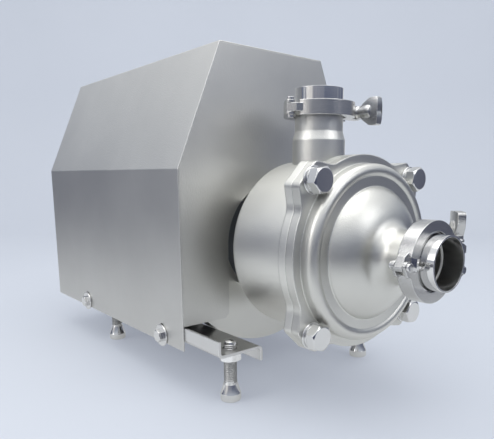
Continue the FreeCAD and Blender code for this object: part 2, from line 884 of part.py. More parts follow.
def fan_cowl():
    """Sheet cowl round the fan with a ring of air holes in its back."""
    start = rear_shield_front
    back = start - d.cowl_length
    outer, wall = d.cowl_radius, d.cowl_sheet
    made = turned("fan_cowl", [
        (start, outer - wall), (start, outer), (back + d.cowl_edge, outer), (back, outer - d.cowl_edge),
        (back, d.cowl_eye), (back + wall, d.cowl_eye), (back + wall, outer - d.cowl_edge),
        (back + d.cowl_edge, outer - wall)], motor_face)
    hole = sketch(made, "YZ_Plane", back)
    low, high = d.cowl_hole_inner, d.cowl_hole_outer
    spoke = d.cowl_spoke * half_root
    outline(hole, [(low, spoke - low), (high * half_root, spoke - high * half_root), (high, 0),
                   (high * half_root, high * half_root - spoke), (low, low - spoke)])
    around(made, [pocket(hole, wall)], d.cowl_hole_count)
    keep(made)


# Terminal box


def terminal_box():
    """Open box on the motor with its lid and cable gland."""
    middle = motor_face - d.barrel_start - d.barrel_length / 2
    made = body("terminal_box", middle, 0, box_bottom)
    length, width, wall = d.box_half_length, d.box_half_width, d.box_wall
    pad(rectangle(sketch(made, "XY_Plane"), -length, -width, length, width), d.box_depth)
    hollow = sketch(made, "XY_Plane", wall)
    rectangle(hollow, wall - length, wall - width, length - wall, width - wall)
    pocket(hollow, d.box_depth)
    inlet = sketch(made, "XZ_Plane", -d.box_half_width)
    circle(inlet, 0, d.box_depth / 2, d.gland_radius * 0.8)
    pocket(inlet, wall, True)
    keep(made)
    lid = body("terminal_box_lid", middle, 0, box_bottom + d.box_depth)
    pad(rectangle(sketch(lid, "XY_Plane"), -length, -width, length, width), d.lid_depth)
    keep(lid)
    gland = body("cable_gland", middle, d.box_half_width, box_bottom + d.box_depth / 2)
    radius = d.gland_radius
    turn(outline(sketch(gland, "XY_Plane"), [
        (radius * 0.5, -wall), (radius * 0.75, -wall), (radius * 0.75, 0), (radius, 0),
        (radius, d.gland_reach * 0.3), (radius * 0.85, d.gland_reach * 0.3),
        (radius * 0.85, d.gland_reach * 0.85), (radius * 0.6, d.gland_reach),
        (radius * 0.5, d.gland_reach)]), "V_Axis")
    keep(gland)


# Lantern between motor and pump


def lantern():
    """Ring flange and drum with a window on each side."""
    length = casing_rear - motor_face
    ring, bore, outer = d.lantern_ring, d.lantern_bore, d.drum_radius
    made = body("lantern", motor_face, 0, d.shaft_height)
    turn(outline(sketch(made, "XY_Plane"), [
        (d.motor_spigot + 0.2, outer - d.drum_wall), (d.motor_spigot + 0.2, d.motor_spigot_radius),
        (0, d.motor_spigot_radius), (0, d.motor_flange_radius), (ring, d.motor_flange_radius),
        (ring, outer), (length, outer), (length, d.drum_flange_bore),
        (length - d.drum_flange, d.drum_flange_bore), (length - d.drum_flange, outer - d.drum_wall)]))
    window = sketch(made, "XZ_Plane", -d.lantern_bore)
    rectangle(window, ring, -d.window_half_height, length - d.drum_flange, d.window_half_height)
    pocket(window, d.lantern_bore * 2)
    seats = sketch(made, "YZ_Plane")
    spot = d.flange_bolt_circle * half_root
    circle(seats, spot, spot, d.flange_bolt_radius + d.thread_gap)
    around(made, [pocket(seats, ring - 2.5)], 4)
    taps = sketch(made, "YZ_Plane", length - d.drum_flange)
    drum_spot = d.drum_bolt_circle * half_root
    circle(taps, drum_spot, drum_spot, d.drum_bolt_radius + d.stud_clearance)
    around(made, [pocket(taps, d.drum_flange)], 4)
    keep(made)


def casing_screws():
    """Screws through the drum's flange into the casing's back wall."""
    made = body("casing_screws", casing_rear - d.drum_flange, 0, d.shaft_height)
    spot = d.drum_bolt_circle * half_root
    radius = d.drum_bolt_radius
    head = pad(circle(sketch(made, "YZ_Plane"), spot, spot, radius * 1.5), radius * 1.6, True)
    shank = pad(circle(sketch(made, "YZ_Plane"), spot, spot, radius), d.drum_flange + d.casing_back - 3)
    around(made, [head, shank], 4)
    keep(made)


# Rear pump casing, front cover and what lies between


def lobe(owner, offset, thickness):
    """Four flange lobes that carry the cover bolts, with rounded tips and filleted roots."""
    rise = d.lobe_tip - d.lobe_root
    narrowing = d.lobe_root_half - d.lobe_tip_half
    side = root(rise * rise + narrowing * narrowing)
    trim = d.lobe_round * root((side - narrowing) / (side + narrowing))
    reach = d.lobe_fillet_reach
    spread = d.lobe_root_half + reach
    half = [
        (d.lobe_inset, spread), (root(d.flange_radius * d.flange_radius - spread * spread), spread),
        (d.lobe_root + reach * rise / side, d.lobe_root_half - reach * narrowing / side),
        (d.lobe_tip - trim * rise / side, d.lobe_tip_half + trim * narrowing / side),
        (d.lobe_tip, d.lobe_tip_half - trim),
    ]
    fillet, tip = (-d.lobe_fillet,), (d.lobe_round,)
    lower = [(), fillet, (), tip, ()]
    upper = [tip, (), fillet, (), ()]
    corners = [diagonal(p, -q) + arc for (p, q), arc in zip(half, lower)]
    corners += [diagonal(p, q) + arc for (p, q), arc in zip(reversed(half), upper)]
    face = sketch(owner, "YZ_Plane", offset)
    outline(face, corners)
    around(owner, [pad(face, thickness)], 4)


def bolt_holes(owner, offset, depth, radius):
    """Four holes on the cover's bolt circle."""
    spot = d.cover_bolt_circle * half_root
    face = circle(sketch(owner, "YZ_Plane", offset), spot, spot, radius)
    around(owner, [pocket(face, depth)], 4)


def ferrule_end(face, away, outer, bore):
    """The outer outline of a clamp ferrule from the tube to its face and back to the bore."""
    rim = face - away * d.ferrule_rim
    return [(rim - away * d.ferrule_slope, outer), (rim, d.ferrule_radius), (face, d.ferrule_radius),
            (face, bore)]


def pump_casing():
    """Cylinder with a rounded rear rim, lobed flange and vertical discharge pipe."""
    made = body("pump_casing", parting_x, 0, d.shaft_height)
    back = casing_rear - parting_x
    outer, rim = d.casing_radius, d.casing_rim
    turn(outline(sketch(made, "XY_Plane"), [
        (back, 0), (back, outer - rim, -rim), (back + rim, outer), (-d.casing_flange, outer),
        (-d.casing_flange, d.flange_radius), (0, d.flange_radius), (0, 0)]))
    pipe = sketch(made, "XZ_Plane", 0, discharge_x - parting_x)
    face = discharge_joint - d.shaft_height - d.joint_gasket / 2
    narrow = face - d.ferrule_rim - d.ferrule_slope
    outline(pipe, [
        (0, outer - rim * 2), (d.discharge_foot_radius, outer - rim * 2),
        (d.discharge_foot_radius, d.discharge_cone_start), (d.tube_radius, d.discharge_cone_end),
        (d.tube_radius, narrow), (d.ferrule_radius, face - d.ferrule_rim), (d.ferrule_radius, face), (0, face)])
    turn(pipe, "V_Axis")
    lobe(made, -d.casing_flange, d.casing_flange)
    inner = outer - d.casing_wall
    floor = back + d.casing_back
    turn(outline(sketch(made, "XY_Plane"), [
        (floor, 0), (0, 0), (0, inner), (floor + rim, inner), (floor, inner - rim)]), cut=True)
    turn(outline(sketch(made, "XY_Plane"), tube(back, floor, 0, d.seal_bore)), cut=True)
    bore = sketch(made, "XZ_Plane", 0, discharge_x - parting_x)
    turn(rectangle(bore, 0, inner - rim * 2, d.tube_bore, face), "V_Axis", cut=True)
    groove = d.ring_groove_width / 2
    turn(outline(sketch(made, "XY_Plane"), tube(-d.ring_section * 2, 0, d.ring_groove_radius - groove,
                                                d.ring_groove_radius + groove)), cut=True)
    bolt_holes(made, -d.casing_flange, d.casing_flange, d.cover_bolt_radius + d.thread_gap)
    spot = d.drum_bolt_circle * half_root
    taps = circle(sketch(made, "YZ_Plane", back), spot, spot, d.drum_bolt_radius + d.thread_gap)
    around(made, [pocket(taps, d.casing_back - 2.5)], 4)
    keep(made)


def front_cover():
    """Lobed flange, rounded bead, flat band, bell and suction neck in one piece."""
    made = body("front_cover", parting_x, 0, d.shaft_height)
    bead_x = d.cover_flange + d.bead_height - d.bead_radius
    band_x = d.cover_flange + d.band_height
    drop = band_x - bead_x
    bead_foot = d.bead_outer - d.bead_radius - root(d.bead_radius * d.bead_radius - drop * drop)
    face = suction_joint - parting_x - d.joint_gasket / 2
    wall, dome, neck = d.cover_wall, d.dome_radius, d.neck_start
    corners = [
        (0, d.cover_bore), (0, d.flange_radius), (d.cover_flange, d.flange_radius),
        (d.cover_flange, d.bead_outer), (bead_x, d.bead_outer, -d.bead_radius),
        (bead_x + d.bead_radius, d.bead_outer - d.bead_radius, -d.bead_radius), (band_x, bead_foot),
        (band_x, dome + d.dome_step / 2), (band_x + d.dome_step, dome, -d.dome_crown),
        (d.dome_mid, d.dome_mid_radius, d.dome_flare), (neck, d.neck_radius),
    ]
    corners += ferrule_end(face, 1, d.neck_radius, d.tube_bore)
    corners += [
        (neck - 1, d.tube_bore), (d.dome_mid + wall, d.neck_radius + wall / 6),
        (d.dome_mid - wall, d.dome_mid_radius - 1),
        (band_x + d.dome_step - wall * 0.6, dome - wall * 0.9),
        (band_x - wall, dome - wall * 0.9), (band_x - wall, d.cover_bore),
    ]
    turn(outline(sketch(made, "XY_Plane"), corners))
    lobe(made, 0, d.cover_flange)
    bolt_holes(made, 0, d.cover_flange, d.cover_bolt_radius + d.cover_bolt_clearance)
    keep(made)


def cover_fasteners():
    """Four cover bolts with their flat and spring washers."""
    spot = d.cover_bolt_circle * half_root
    front = d.cover_flange
    flat = body("cover_flat_washers", parting_x, 0, d.shaft_height)
    face = circle(sketch(flat, "YZ_Plane", front), spot, spot, d.flat_washer_radius)
    circle(face, spot, spot, d.cover_bolt_radius + d.cover_bolt_clearance)
    around(flat, [pad(face, d.flat_washer)], 4)
    keep(flat)
    split = body("cover_spring_washers", parting_x, 0, d.shaft_height)
    face = sketch(split, "YZ_Plane", front + d.flat_washer)
    circle(face, spot, spot, d.spring_washer_radius)
    circle(face, spot, spot, d.cover_bolt_radius + d.cover_bolt_clearance)
    around(split, [pad(face, d.spring_washer)], 4)
    keep(split)
    under_head = front + d.flat_washer + d.spring_washer
    bolts = body("cover_bolts", parting_x, 0, d.shaft_height)
    head = pad(hexagon(sketch(bolts, "YZ_Plane", under_head), d.cover_bolt_flats, 0, spot, spot),
               d.cover_bolt_head)
    shank = pad(circle(sketch(bolts, "YZ_Plane", under_head), spot, spot, d.cover_bolt_radius),
                under_head + d.casing_flange, True)
    around(bolts, [head, shank], 4)
    keep(bolts)


def cover_gasket():
    """O-ring pressed to a rounded hexagon in the casing's groove."""
    middle, half = d.ring_groove_radius, d.ring_section
    keep(turned("cover_gasket", [
        (-half * 2, middle - half / 2), (-half, middle - half), (0, middle - half / 2),
        (0, middle + half / 2), (-half, middle + half), (-half * 2, middle + half / 2)], parting_x))


def ferrule(label, x, z, upright):
    """A loose clamp ferrule with its tube; upright turns its axis to vertical."""
    made = body(label, x, 0, z, Rotation(Vector(0, 1, 0), -90) if upright else None)
    face = d.joint_gasket / 2
    turn(outline(sketch(made, "XY_Plane"), [
        (face, d.tube_bore), (face, d.ferrule_radius), (face + d.ferrule_rim, d.ferrule_radius),
        (face + d.ferrule_rim + d.ferrule_slope, d.tube_radius + 0.6),
        (face + d.ferrule_rim + d.ferrule_slope + 1.5, d.tube_radius),
        (d.ferrule_length, d.tube_radius), (d.ferrule_length, d.tube_bore)]))
    keep(made)


def joint_gasket(label, x, z, upright):
    """Flat gasket between two ferrule faces."""
    made = body(label, x, 0, z, Rotation(Vector(0, 1, 0), -90) if upright else None)
    half = d.joint_gasket / 2
    turn(outline(sketch(made, "XY_Plane"), tube(-half, half, d.tube_bore, d.ferrule_radius)))
    keep(made)


# Clamps: two hinged halves, pins, swing bolt and wing nut, drawn with the port along local Z


def clamp_half(owner, side):
    """Half a ring with a V groove; side -1 is the fixed half and +1 the swinging one."""
    width, bore, outer = d.clamp_half_width, d.clamp_bore, d.clamp_radius
    seat = d.ferrule_radius + d.clamp_clearance
    rim = d.joint_gasket / 2 + d.ferrule_rim + d.clamp_clearance
    mouth = rim + d.ferrule_slope
    ring = sketch(owner, "XZ_Plane")
    outline(ring, [(bore, mouth), (bore, width), (outer, width), (outer, -width), (bore, -width),
                   (bore, -mouth), (seat, -rim), (seat, rim)])
    turn(ring, "V_Axis")
    away = sketch(owner, "XY_Plane", -width)
    wedge = outer * 1.2
    gap, cut = side * d.clamp_gap, side * d.hinge_cut
    outline(away, [(gap, -wedge / 4), (cut, -outer - d.clamp_gap), (cut, -wedge), (-side * wedge, -wedge),
                   (-side * wedge, wedge), (gap, wedge)])
    pocket(away, width * 2)


def clamp_fixed(label, frame):
    """Fixed half: forked hinge ears on one side and the swing bolt's fork on the other."""
    made = body(label, *frame)
    clamp_half(made, -1)
    width, eye = d.clamp_half_width, d.eye_half_width + d.clamp_clearance
    hinge, knuckle, ring = d.hinge_distance, d.knuckle_radius, d.clamp_radius
    for low, high in ((-width, -eye), (eye, width)):
        ears = sketch(made, "XY_Plane", low)
        outline(ears, [(0, -hinge - knuckle, knuckle), (knuckle, -hinge, knuckle), (0, -hinge + knuckle),
                       (-ring * 0.21, -ring * 0.83), (-ring * 0.32, -ring * 0.89), (-ring * 0.24, -hinge)])
        pad(ears, high - low)
        fork = sketch(made, "XY_Plane", low)
        pivot, reach, eye_radius = -d.swing_bolt_pivot, d.swing_bolt_distance, d.eye_radius
        outline(fork, [(pivot + eye_radius, reach, eye_radius), (pivot, reach + eye_radius, eye_radius),
                       (pivot - eye_radius, reach), (pivot - ring * 0.32, ring * 0.72),
                       (-ring * 0.16, ring * 0.83), (-ring * 0.053, ring * 0.96)])
        pad(fork, high - low)
    holes = sketch(made, "XY_Plane", -width)
    circle(holes, 0, -hinge, d.hinge_pin_radius)
    circle(holes, -d.swing_bolt_pivot, d.swing_bolt_distance, d.hinge_pin_radius)
    pocket(holes, width * 2)
    keep(made)


def clamp_swing(label, frame):
    """Swinging half: middle hinge tongue and the slotted ear under the wing nut."""
    made = body(label, *frame)
    clamp_half(made, 1)
    width, eye = d.clamp_half_width, d.eye_half_width
    hinge, knuckle, ring = d.hinge_distance, d.knuckle_radius, d.clamp_radius
    tongue = sketch(made, "XY_Plane", -eye)
    outline(tongue, [(-knuckle, -hinge, knuckle), (0, -hinge - knuckle), (ring * 0.24, -hinge),
                     (ring * 0.37, -ring * 0.88), (ring * 0.21, -ring * 0.83), (0, -hinge + knuckle, knuckle)])
    pad(tongue, eye * 2)
    ear = sketch(made, "XY_Plane", -width)
    seat, reach = d.ear_seat, d.swing_bolt_distance
    tip = reach + d.eye_radius
    outline(ear, [(d.ear_start, ring * 0.88), (d.ear_start, tip), (seat * 0.75, tip), (seat, reach),
                  (seat, ring * 0.88), (seat * 0.92, ring * 0.83)])
    pad(ear, width * 2)
    slot = sketch(made, "XY_Plane", -eye - d.ear_gap)
    rectangle(slot, 0, reach - eye - d.ear_gap, seat + d.eye_radius, tip + d.eye_radius)
    pocket(slot, (eye + d.ear_gap) * 2)
    hole = circle(sketch(made, "XY_Plane", -eye), 0, -hinge, d.hinge_pin_radius + d.running_gap)
    pocket(hole, eye * 2)
    keep(made)


def clamp_pins(label, frame):
    """Hinge pin and the swing bolt's pivot pin, each with two low heads."""
    made = body(label, *frame)
    for x, y in ((0, -d.hinge_distance), (-d.swing_bolt_pivot, d.swing_bolt_distance)):
        reach = d.pin_reach
        pad(circle(sketch(made, "XY_Plane", -reach), x, y, d.hinge_pin_radius), reach * 2)
        for low in (-reach, d.clamp_half_width):
            head = circle(sketch(made, "XY_Plane", low), x, y, d.hinge_pin_radius + 1.2)
            pad(head, reach - d.clamp_half_width)
    keep(made)


def swing_bolt(label, frame):
    """Eye bolt that swings about its pivot pin."""
    made = body(label, *frame)
    half, pivot, reach = d.eye_half_width, -d.swing_bolt_pivot, d.swing_bolt_distance
    pad(circle(sketch(made, "XY_Plane", -half), pivot, reach, d.eye_radius - 0.5), half * 2)
    shank = circle(sketch(made, "YZ_Plane", pivot), reach, 0, d.swing_bolt_radius)
    pad(shank, d.swing_bolt_reach - pivot)
    hole = circle(sketch(made, "XY_Plane", -half), pivot, reach, d.hinge_pin_radius + d.running_gap)
    pocket(hole, half * 2)
    keep(made)


def wing_nut(label, frame, nut_turn):
    """Tapered boss with two wings, turned about the swing bolt by the given angle."""
    x, y, z, facing = frame
    made = body(label, x, y + d.swing_bolt_distance, z, facing * Rotation(Vector(1, 0, 0), nut_turn))
    seat = d.ear_seat + d.ear_gap
    tip = seat + d.nut_length
    turn(outline(sketch(made, "XY_Plane"), [
        (seat, 0), (seat, d.nut_root_radius), (tip, d.nut_tip_radius),
        (tip + d.nut_nose, d.nut_tip_radius - 1), (tip + d.nut_nose, 0)]))
    wings = sketch(made, "XZ_Plane", -d.wing_width / 2)
    out, far = d.wing_reach, seat + d.wing_length
    for side in (-1, 1):
        outline(wings, [(seat + 5, 0), (far - 10, 0), (far - 7, side * 5), (far, side * (out - 3)),
                        (far - 2, side * out), (seat + 12, side * (out - 1)), (seat + 5, side * 6)])
    pad(wings, d.wing_width)
    hole = sketch(made, "YZ_Plane", seat)
    pocket(circle(hole, 0, 0, d.swing_bolt_radius + d.running_gap), d.wing_length)
    keep(made)


def clamp(port, frame, nut_turn):
    """All the pieces of one port clamp."""
    clamp_fixed(f"{port}_clamp_fixed_half", frame)
    clamp_swing(f"{port}_clamp_swing_half", frame)
    clamp_pins(f"{port}_clamp_pins", frame)
    swing_bolt(f"{port}_clamp_swing_bolt", frame)
    wing_nut(f"{port}_clamp_wing_nut", frame, nut_turn)


# Turning pieces


def motor_shaft():
    """Stepped motor shaft from the fan to the free end."""
    end = d.shaft_end_length
    rear = rear_shield_front - d.cowl_length + 30
    bore = d.bearing_bore
    front_seat = -d.motor_flange - 5
    keep(turned("motor_shaft", [
        (rear, 0), (rear, bore - 2), (rear_shield_front - d.rear_shield, bore - 2),
        (rear_shield_front - d.rear_shield, bore), (stator_rear - 12, bore),
        (stator_rear - 12, bore + 4), (-d.stator_start + 12, bore + 4),
        (-d.stator_start + 12, bore), (front_seat + 4, bore), (front_seat + 4, d.shaft_end_radius),
        (end - 1, d.shaft_end_radius), (end, d.shaft_end_radius - 1), (end, 0)], motor_face))


def rotor_core():
    """Squirrel-cage core with its end rings."""
    rear, front = stator_rear, -d.stator_start
    outer, shaft = d.stator_bore - d.air_gap, d.bearing_bore + 4
    keep(turned("rotor_core", [
        (rear, shaft), (rear, outer - 14), (rear - 8, outer - 12), (rear - 8, outer - 2), (rear, outer),
        (front, outer), (front + 8, outer - 2), (front + 8, outer - 12), (front, outer - 14),
        (front, shaft)], motor_face))


def cooling_fan():
    """Radial fan behind the rear shield."""
    hub = rear_shield_front - d.rear_shield - 14
    made = body("cooling_fan", motor_face, 0, d.shaft_height)
    shaft, width = d.bearing_bore - 2, d.fan_width
    turn(outline(sketch(made, "XY_Plane"), [
        (hub - width, shaft), (hub - width, d.fan_hub_radius), (hub - 3, d.fan_hub_radius),
        (hub - 3, d.fan_radius - 6), (hub, d.fan_radius - 6), (hub, shaft)]))
    blade = sketch(made, "YZ_Plane", hub - width)
    rectangle(blade, d.fan_hub_radius - 2, -1.25, d.fan_radius, 1.25)
    around(made, [pad(blade, width)], d.fan_blades)
    keep(made)


def pump_shaft():
    """Stub shaft: hollow sleeve over the motor shaft and a solid end for the impeller."""
    shaft_tip = motor_face + d.shaft_end_length
    sleeve = ring_front - 2
    sleeve_end = shaft_tip + 3
    hub_front = impeller_back + d.impeller_hub_length
    nut_seat = hub_front + d.impeller_nut_length - 5
    made = turned("pump_shaft", [
        (sleeve, d.shaft_end_radius), (sleeve, d.sleeve_radius), (sleeve_end, d.sleeve_radius),
        (sleeve_end, d.pump_shaft_radius), (impeller_back, d.pump_shaft_radius),
        (impeller_back, d.pump_shaft_end_radius), (nut_seat, d.pump_shaft_end_radius),
        (nut_seat, 0), (shaft_tip, 0), (shaft_tip, d.shaft_end_radius)], 0)
    keep(made)


def shaft_clamp_ring():
    """Clamp ring that grips the sleeve on the motor shaft, seen through the windows."""
    start = ring_front + 2
    outer, width = d.clamp_ring_radius, d.clamp_ring_width
    made = turned("shaft_clamp_ring", [
        (start, d.sleeve_radius), (start, outer - 1.5), (start + 1.5, outer), (start + width - 1.5, outer),
        (start + width, outer - 1.5), (start + width, d.sleeve_radius)])
    screw = sketch(made, "YZ_Plane", start)
    circle(screw, (outer + d.sleeve_radius) / 2, 0, 2.5)
    around(made, [pocket(screw, 6)], 6)
    keep(made)


def seal():
    """Mechanical seal: fixed seat in the casing, turning ring and its folded rubber bellows."""
    front = casing_rear + d.seal_seat_width
    running = d.pump_shaft_radius + 1
    keep(turned("seal_seat", [
        (casing_rear, running), (casing_rear, d.seal_bore), (front - 1, d.seal_bore), (front, d.seal_bore - 2),
        (front, running)]))
    ring_back = front + 0.1
    keep(turned("seal_ring", tube(ring_back, ring_back + d.seal_ring_width, d.pump_shaft_radius,
                                  d.seal_ring_radius)))
    bellows_back = ring_back + d.seal_ring_width
    fold = d.seal_bellows_length / (d.seal_bellows_folds * 2)
    deep, wall = d.seal_bellows_depth, d.seal_bellows_wall
    foot = d.pump_shaft_radius
    folds = int(d.seal_bellows_folds.value)
    outer = [(bellows_back + fold * i, foot + wall + (deep if i % 2 else as_size(0)))
             for i in range(2 * folds + 1)]
    keep(turned("seal_bellows", [(bellows_back, foot)] + outer + [(bellows_back + fold * 2 * folds, foot)]))


def impeller():
    """Semi-open impeller with backward-curved vanes."""
    made = body("impeller", impeller_back, 0, d.shaft_height)
    disc, hub, outer = d.impeller_disc, d.impeller_hub_radius, d.impeller_radius
    turn(outline(sketch(made, "XY_Plane"), [
        (0, d.pump_shaft_end_radius), (0, outer), (disc, outer), (disc + 1, hub + 12), (disc + 4, hub + 3),
        (d.impeller_hub_length, hub - 1), (d.impeller_hub_length, d.pump_shaft_end_radius)]))
    vane = sketch(made, "YZ_Plane", disc / 2)
    sweep, thick = outer * 0.62, d.vane_width
    outline(vane, [
        (hub + 3, 0, -sweep), (outer * 0.55, outer * 0.8), (outer * 0.55 - thick, outer * 0.8 + thick * 0.6, sweep + thick),
        (hub + 3 - thick * 1.2, thick * 0.8)])
    vane_height = d.impeller_setback - disc / 2 - d.wear_ring - d.impeller_clearance
    around(made, [pad(vane, vane_height)], d.vane_count)
    keep(made)


def impeller_nut():
    """Rounded cap nut that holds the impeller."""
    start = impeller_back + d.impeller_hub_length
    length, radius = d.impeller_nut_length, d.impeller_hub_radius - 1
    bore = d.pump_shaft_end_radius
    keep(turned("impeller_nut", [
        (start, bore), (start, radius), (start + length - 6, radius), (start + length, radius * 0.6),
        (start + length + 2, 0), (start + length - 5, 0), (start + length - 5, bore)]))


def inner_volute():
    """Cup round the impeller, flanged between casing and cover, open at the top."""
    outer, wall, length = d.volute_radius, d.volute_wall, d.volute_length
    back = -length
    made = turned("inner_volute", [
        (back, d.volute_hub_bore), (back, outer), (-d.volute_flange, outer),
        (-d.volute_flange, d.volute_flange_radius), (0, d.volute_flange_radius), (0, outer - wall),
        (back + wall, outer - wall), (back + wall, d.volute_hub_bore)], parting_x)
    outlet = sketch(made, "XY_Plane", outer - wall * 3)
    rectangle(outlet, back + wall, -18, -d.volute_flange - wall, 10)
    pocket(outlet, wall * 4)
    keep(made)


def wear_ring():
    """Front wall of the inner volute, with the impeller's eye in its middle."""
    outer = d.volute_radius - d.volute_wall
    keep(turned("wear_ring", [
        (-d.wear_ring, d.wear_ring_bore), (-d.wear_ring, outer), (0, outer), (0, d.wear_ring_bore + 4),
        (4, d.wear_ring_bore + 4), (4, d.wear_ring_bore)], parting_x))


def write_nodes():
    """Checks every object and writes each sub-part to its own file."""
    doc.recompute()
    broken = [item.Name for item in doc.Objects if "Invalid" in item.State or "Error" in item.State]
    if broken:
        raise RuntimeError(f"failed objects: {broken}")
    for item in NODES:
        if item.Shape.isNull() or not item.Shape.isValid():
            raise RuntimeError(f"bad shape: {item.Label}")
    os.makedirs("parts", exist_ok=True)
    for item in NODES:
        item.Shape.exportStep(f"parts/{item.Label}.step")
    print(len(NODES), "sub-parts written")


rail("rail_left", -1)
rail("rail_right", 1)
for end, station in zip(("front", "rear"), foot_stations):
    for name, side in (("left", -1), ("right", 1)):
        levelling_foot(f"levelling_foot_{end}_{name}", station, side * d.foot_y)
jam_nuts()
side_fasteners()
shroud_cover()
shroud_front_panel()
shroud_rear_panel()
motor_housing()
motor_foot_bolts()
motor_front_shield()
lantern_bolts()
motor_rear_shield()
stator()
bearing("front_bearing", motor_face - d.motor_flange - 5 - d.bearing_width / 2)
bearing("rear_bearing", motor_face + rear_shield_front - d.rear_shield + 4 + d.bearing_width / 2)
fan_cowl()
terminal_box()
lantern()
casing_screws()
pump_casing()
front_cover()
cover_fasteners()
cover_gasket()
ferrule("suction_ferrule", suction_joint, d.shaft_height, False)
ferrule("discharge_ferrule", discharge_x, discharge_joint, True)
joint_gasket("suction_gasket", suction_joint, d.shaft_height, False)
joint_gasket("discharge_gasket", discharge_x, discharge_joint, True)
clamp("suction", (suction_joint, 0, d.shaft_height, Rotation(Vector(0, 1, 0), -90)), 30)
clamp("discharge", (discharge_x, 0, discharge_joint, Rotation()), 0)
motor_shaft()
rotor_core()
cooling_fan()
pump_shaft()
shaft_clamp_ring()
seal()
impeller()
impeller_nut()
inner_volute()
wear_ring()
write_nodes()
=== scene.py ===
# %% [markdown]
# A self-priming pump for clean liquids: a motor under a folded stainless hood, a round casing in front
# of it, and two clamp ports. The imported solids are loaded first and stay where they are. Everything
# below gives them their finish, adds the small forms that a solid model leaves out, and lights them.

import json
import math

import bmesh
import bpy
from mathutils import Matrix, Vector


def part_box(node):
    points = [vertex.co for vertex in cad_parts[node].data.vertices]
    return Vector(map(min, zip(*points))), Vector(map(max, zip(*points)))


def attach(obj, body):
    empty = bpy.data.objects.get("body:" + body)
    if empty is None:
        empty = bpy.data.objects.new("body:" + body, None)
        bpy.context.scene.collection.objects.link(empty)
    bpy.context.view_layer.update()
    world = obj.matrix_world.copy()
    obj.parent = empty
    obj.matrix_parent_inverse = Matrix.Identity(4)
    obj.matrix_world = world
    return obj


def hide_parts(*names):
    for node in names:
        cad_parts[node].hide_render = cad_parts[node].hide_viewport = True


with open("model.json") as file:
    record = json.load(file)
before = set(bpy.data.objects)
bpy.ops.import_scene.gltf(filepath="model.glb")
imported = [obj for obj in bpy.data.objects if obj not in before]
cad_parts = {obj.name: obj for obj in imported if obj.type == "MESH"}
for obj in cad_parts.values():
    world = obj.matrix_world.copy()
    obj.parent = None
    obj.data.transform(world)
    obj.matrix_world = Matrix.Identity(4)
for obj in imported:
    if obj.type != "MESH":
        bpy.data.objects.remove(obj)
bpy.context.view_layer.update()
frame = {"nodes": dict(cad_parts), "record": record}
nodes = frame["nodes"]

# Lengths are written in millimetres below, and MM turns them into metres.
MM = 0.001
SHAFT_HEIGHT = 157
DISCHARGE_X = 147.5

# %% [markdown]
# The camera stands to the front left of the pump, a little above the shaft. Its place, turn and lens
# come from fitting the known sizes of the hood, casing and stubs to the photograph. The small shift
# stands for the crop of the original picture.

# %% Camera
IMAGE_WIDTH = 494
IMAGE_HEIGHT = 439
FOCAL_PIXELS = 514.6
CENTRE_PIXEL = (278.56, 266.02)
SENSOR = 36.0
CAMERA_PLACE = (0.5419, -0.4034, 0.2330)
CAMERA_DIP = math.radians(9.955)
CAMERA_TURN = math.radians(48.70)

camera_data = bpy.data.cameras.new("camera")
camera_data.sensor_width = SENSOR
camera_data.lens = SENSOR * FOCAL_PIXELS / IMAGE_WIDTH
camera_data.shift_x = (IMAGE_WIDTH / 2 - CENTRE_PIXEL[0]) / IMAGE_WIDTH
camera_data.shift_y = (CENTRE_PIXEL[1] - IMAGE_HEIGHT / 2) / IMAGE_WIDTH
camera_data.clip_start = 0.01
camera = bpy.data.objects.new("camera", camera_data)
bpy.context.scene.collection.objects.link(camera)
camera.location = CAMERA_PLACE
camera.rotation_euler = (math.radians(90) - CAMERA_DIP, 0, CAMERA_TURN)
bpy.context.scene.camera = camera

# %% [markdown]
# A finish is a small program: it reads a point on the surface and gives colour, roughness and relief.
# Writing it as Python sums is shorter to read than a picture of wires, so one class wraps a socket and
# lets the usual signs add the Math nodes. A second class holds the material and adds any other node.


# %% Shader helpers
class Value:
    """A number that varies over the surface; the usual signs combine it with others."""

    def __init__(self, finish, socket):
        self.finish = finish
        self.socket = socket

    def maths(self, operation, *items):
        """One Math node with these inputs."""
        return self.finish.add("ShaderNodeMath", {"operation": operation}, dict(enumerate(items)))

    def __add__(self, other):
        return self.maths("ADD", self, other)

    def __sub__(self, other):
        return self.maths("SUBTRACT", self, other)

    def __rsub__(self, other):
        return self.maths("SUBTRACT", other, self)

    def __mul__(self, other):
        return self.maths("MULTIPLY", self, other)

    def __truediv__(self, other):
        return self.maths("DIVIDE", self, other)

    def clamp(self):
        """Never below 0 or above 1."""
        return self.maths("MINIMUM", self.maths("MAXIMUM", self, 0.0), 1.0)

    __radd__ = __add__


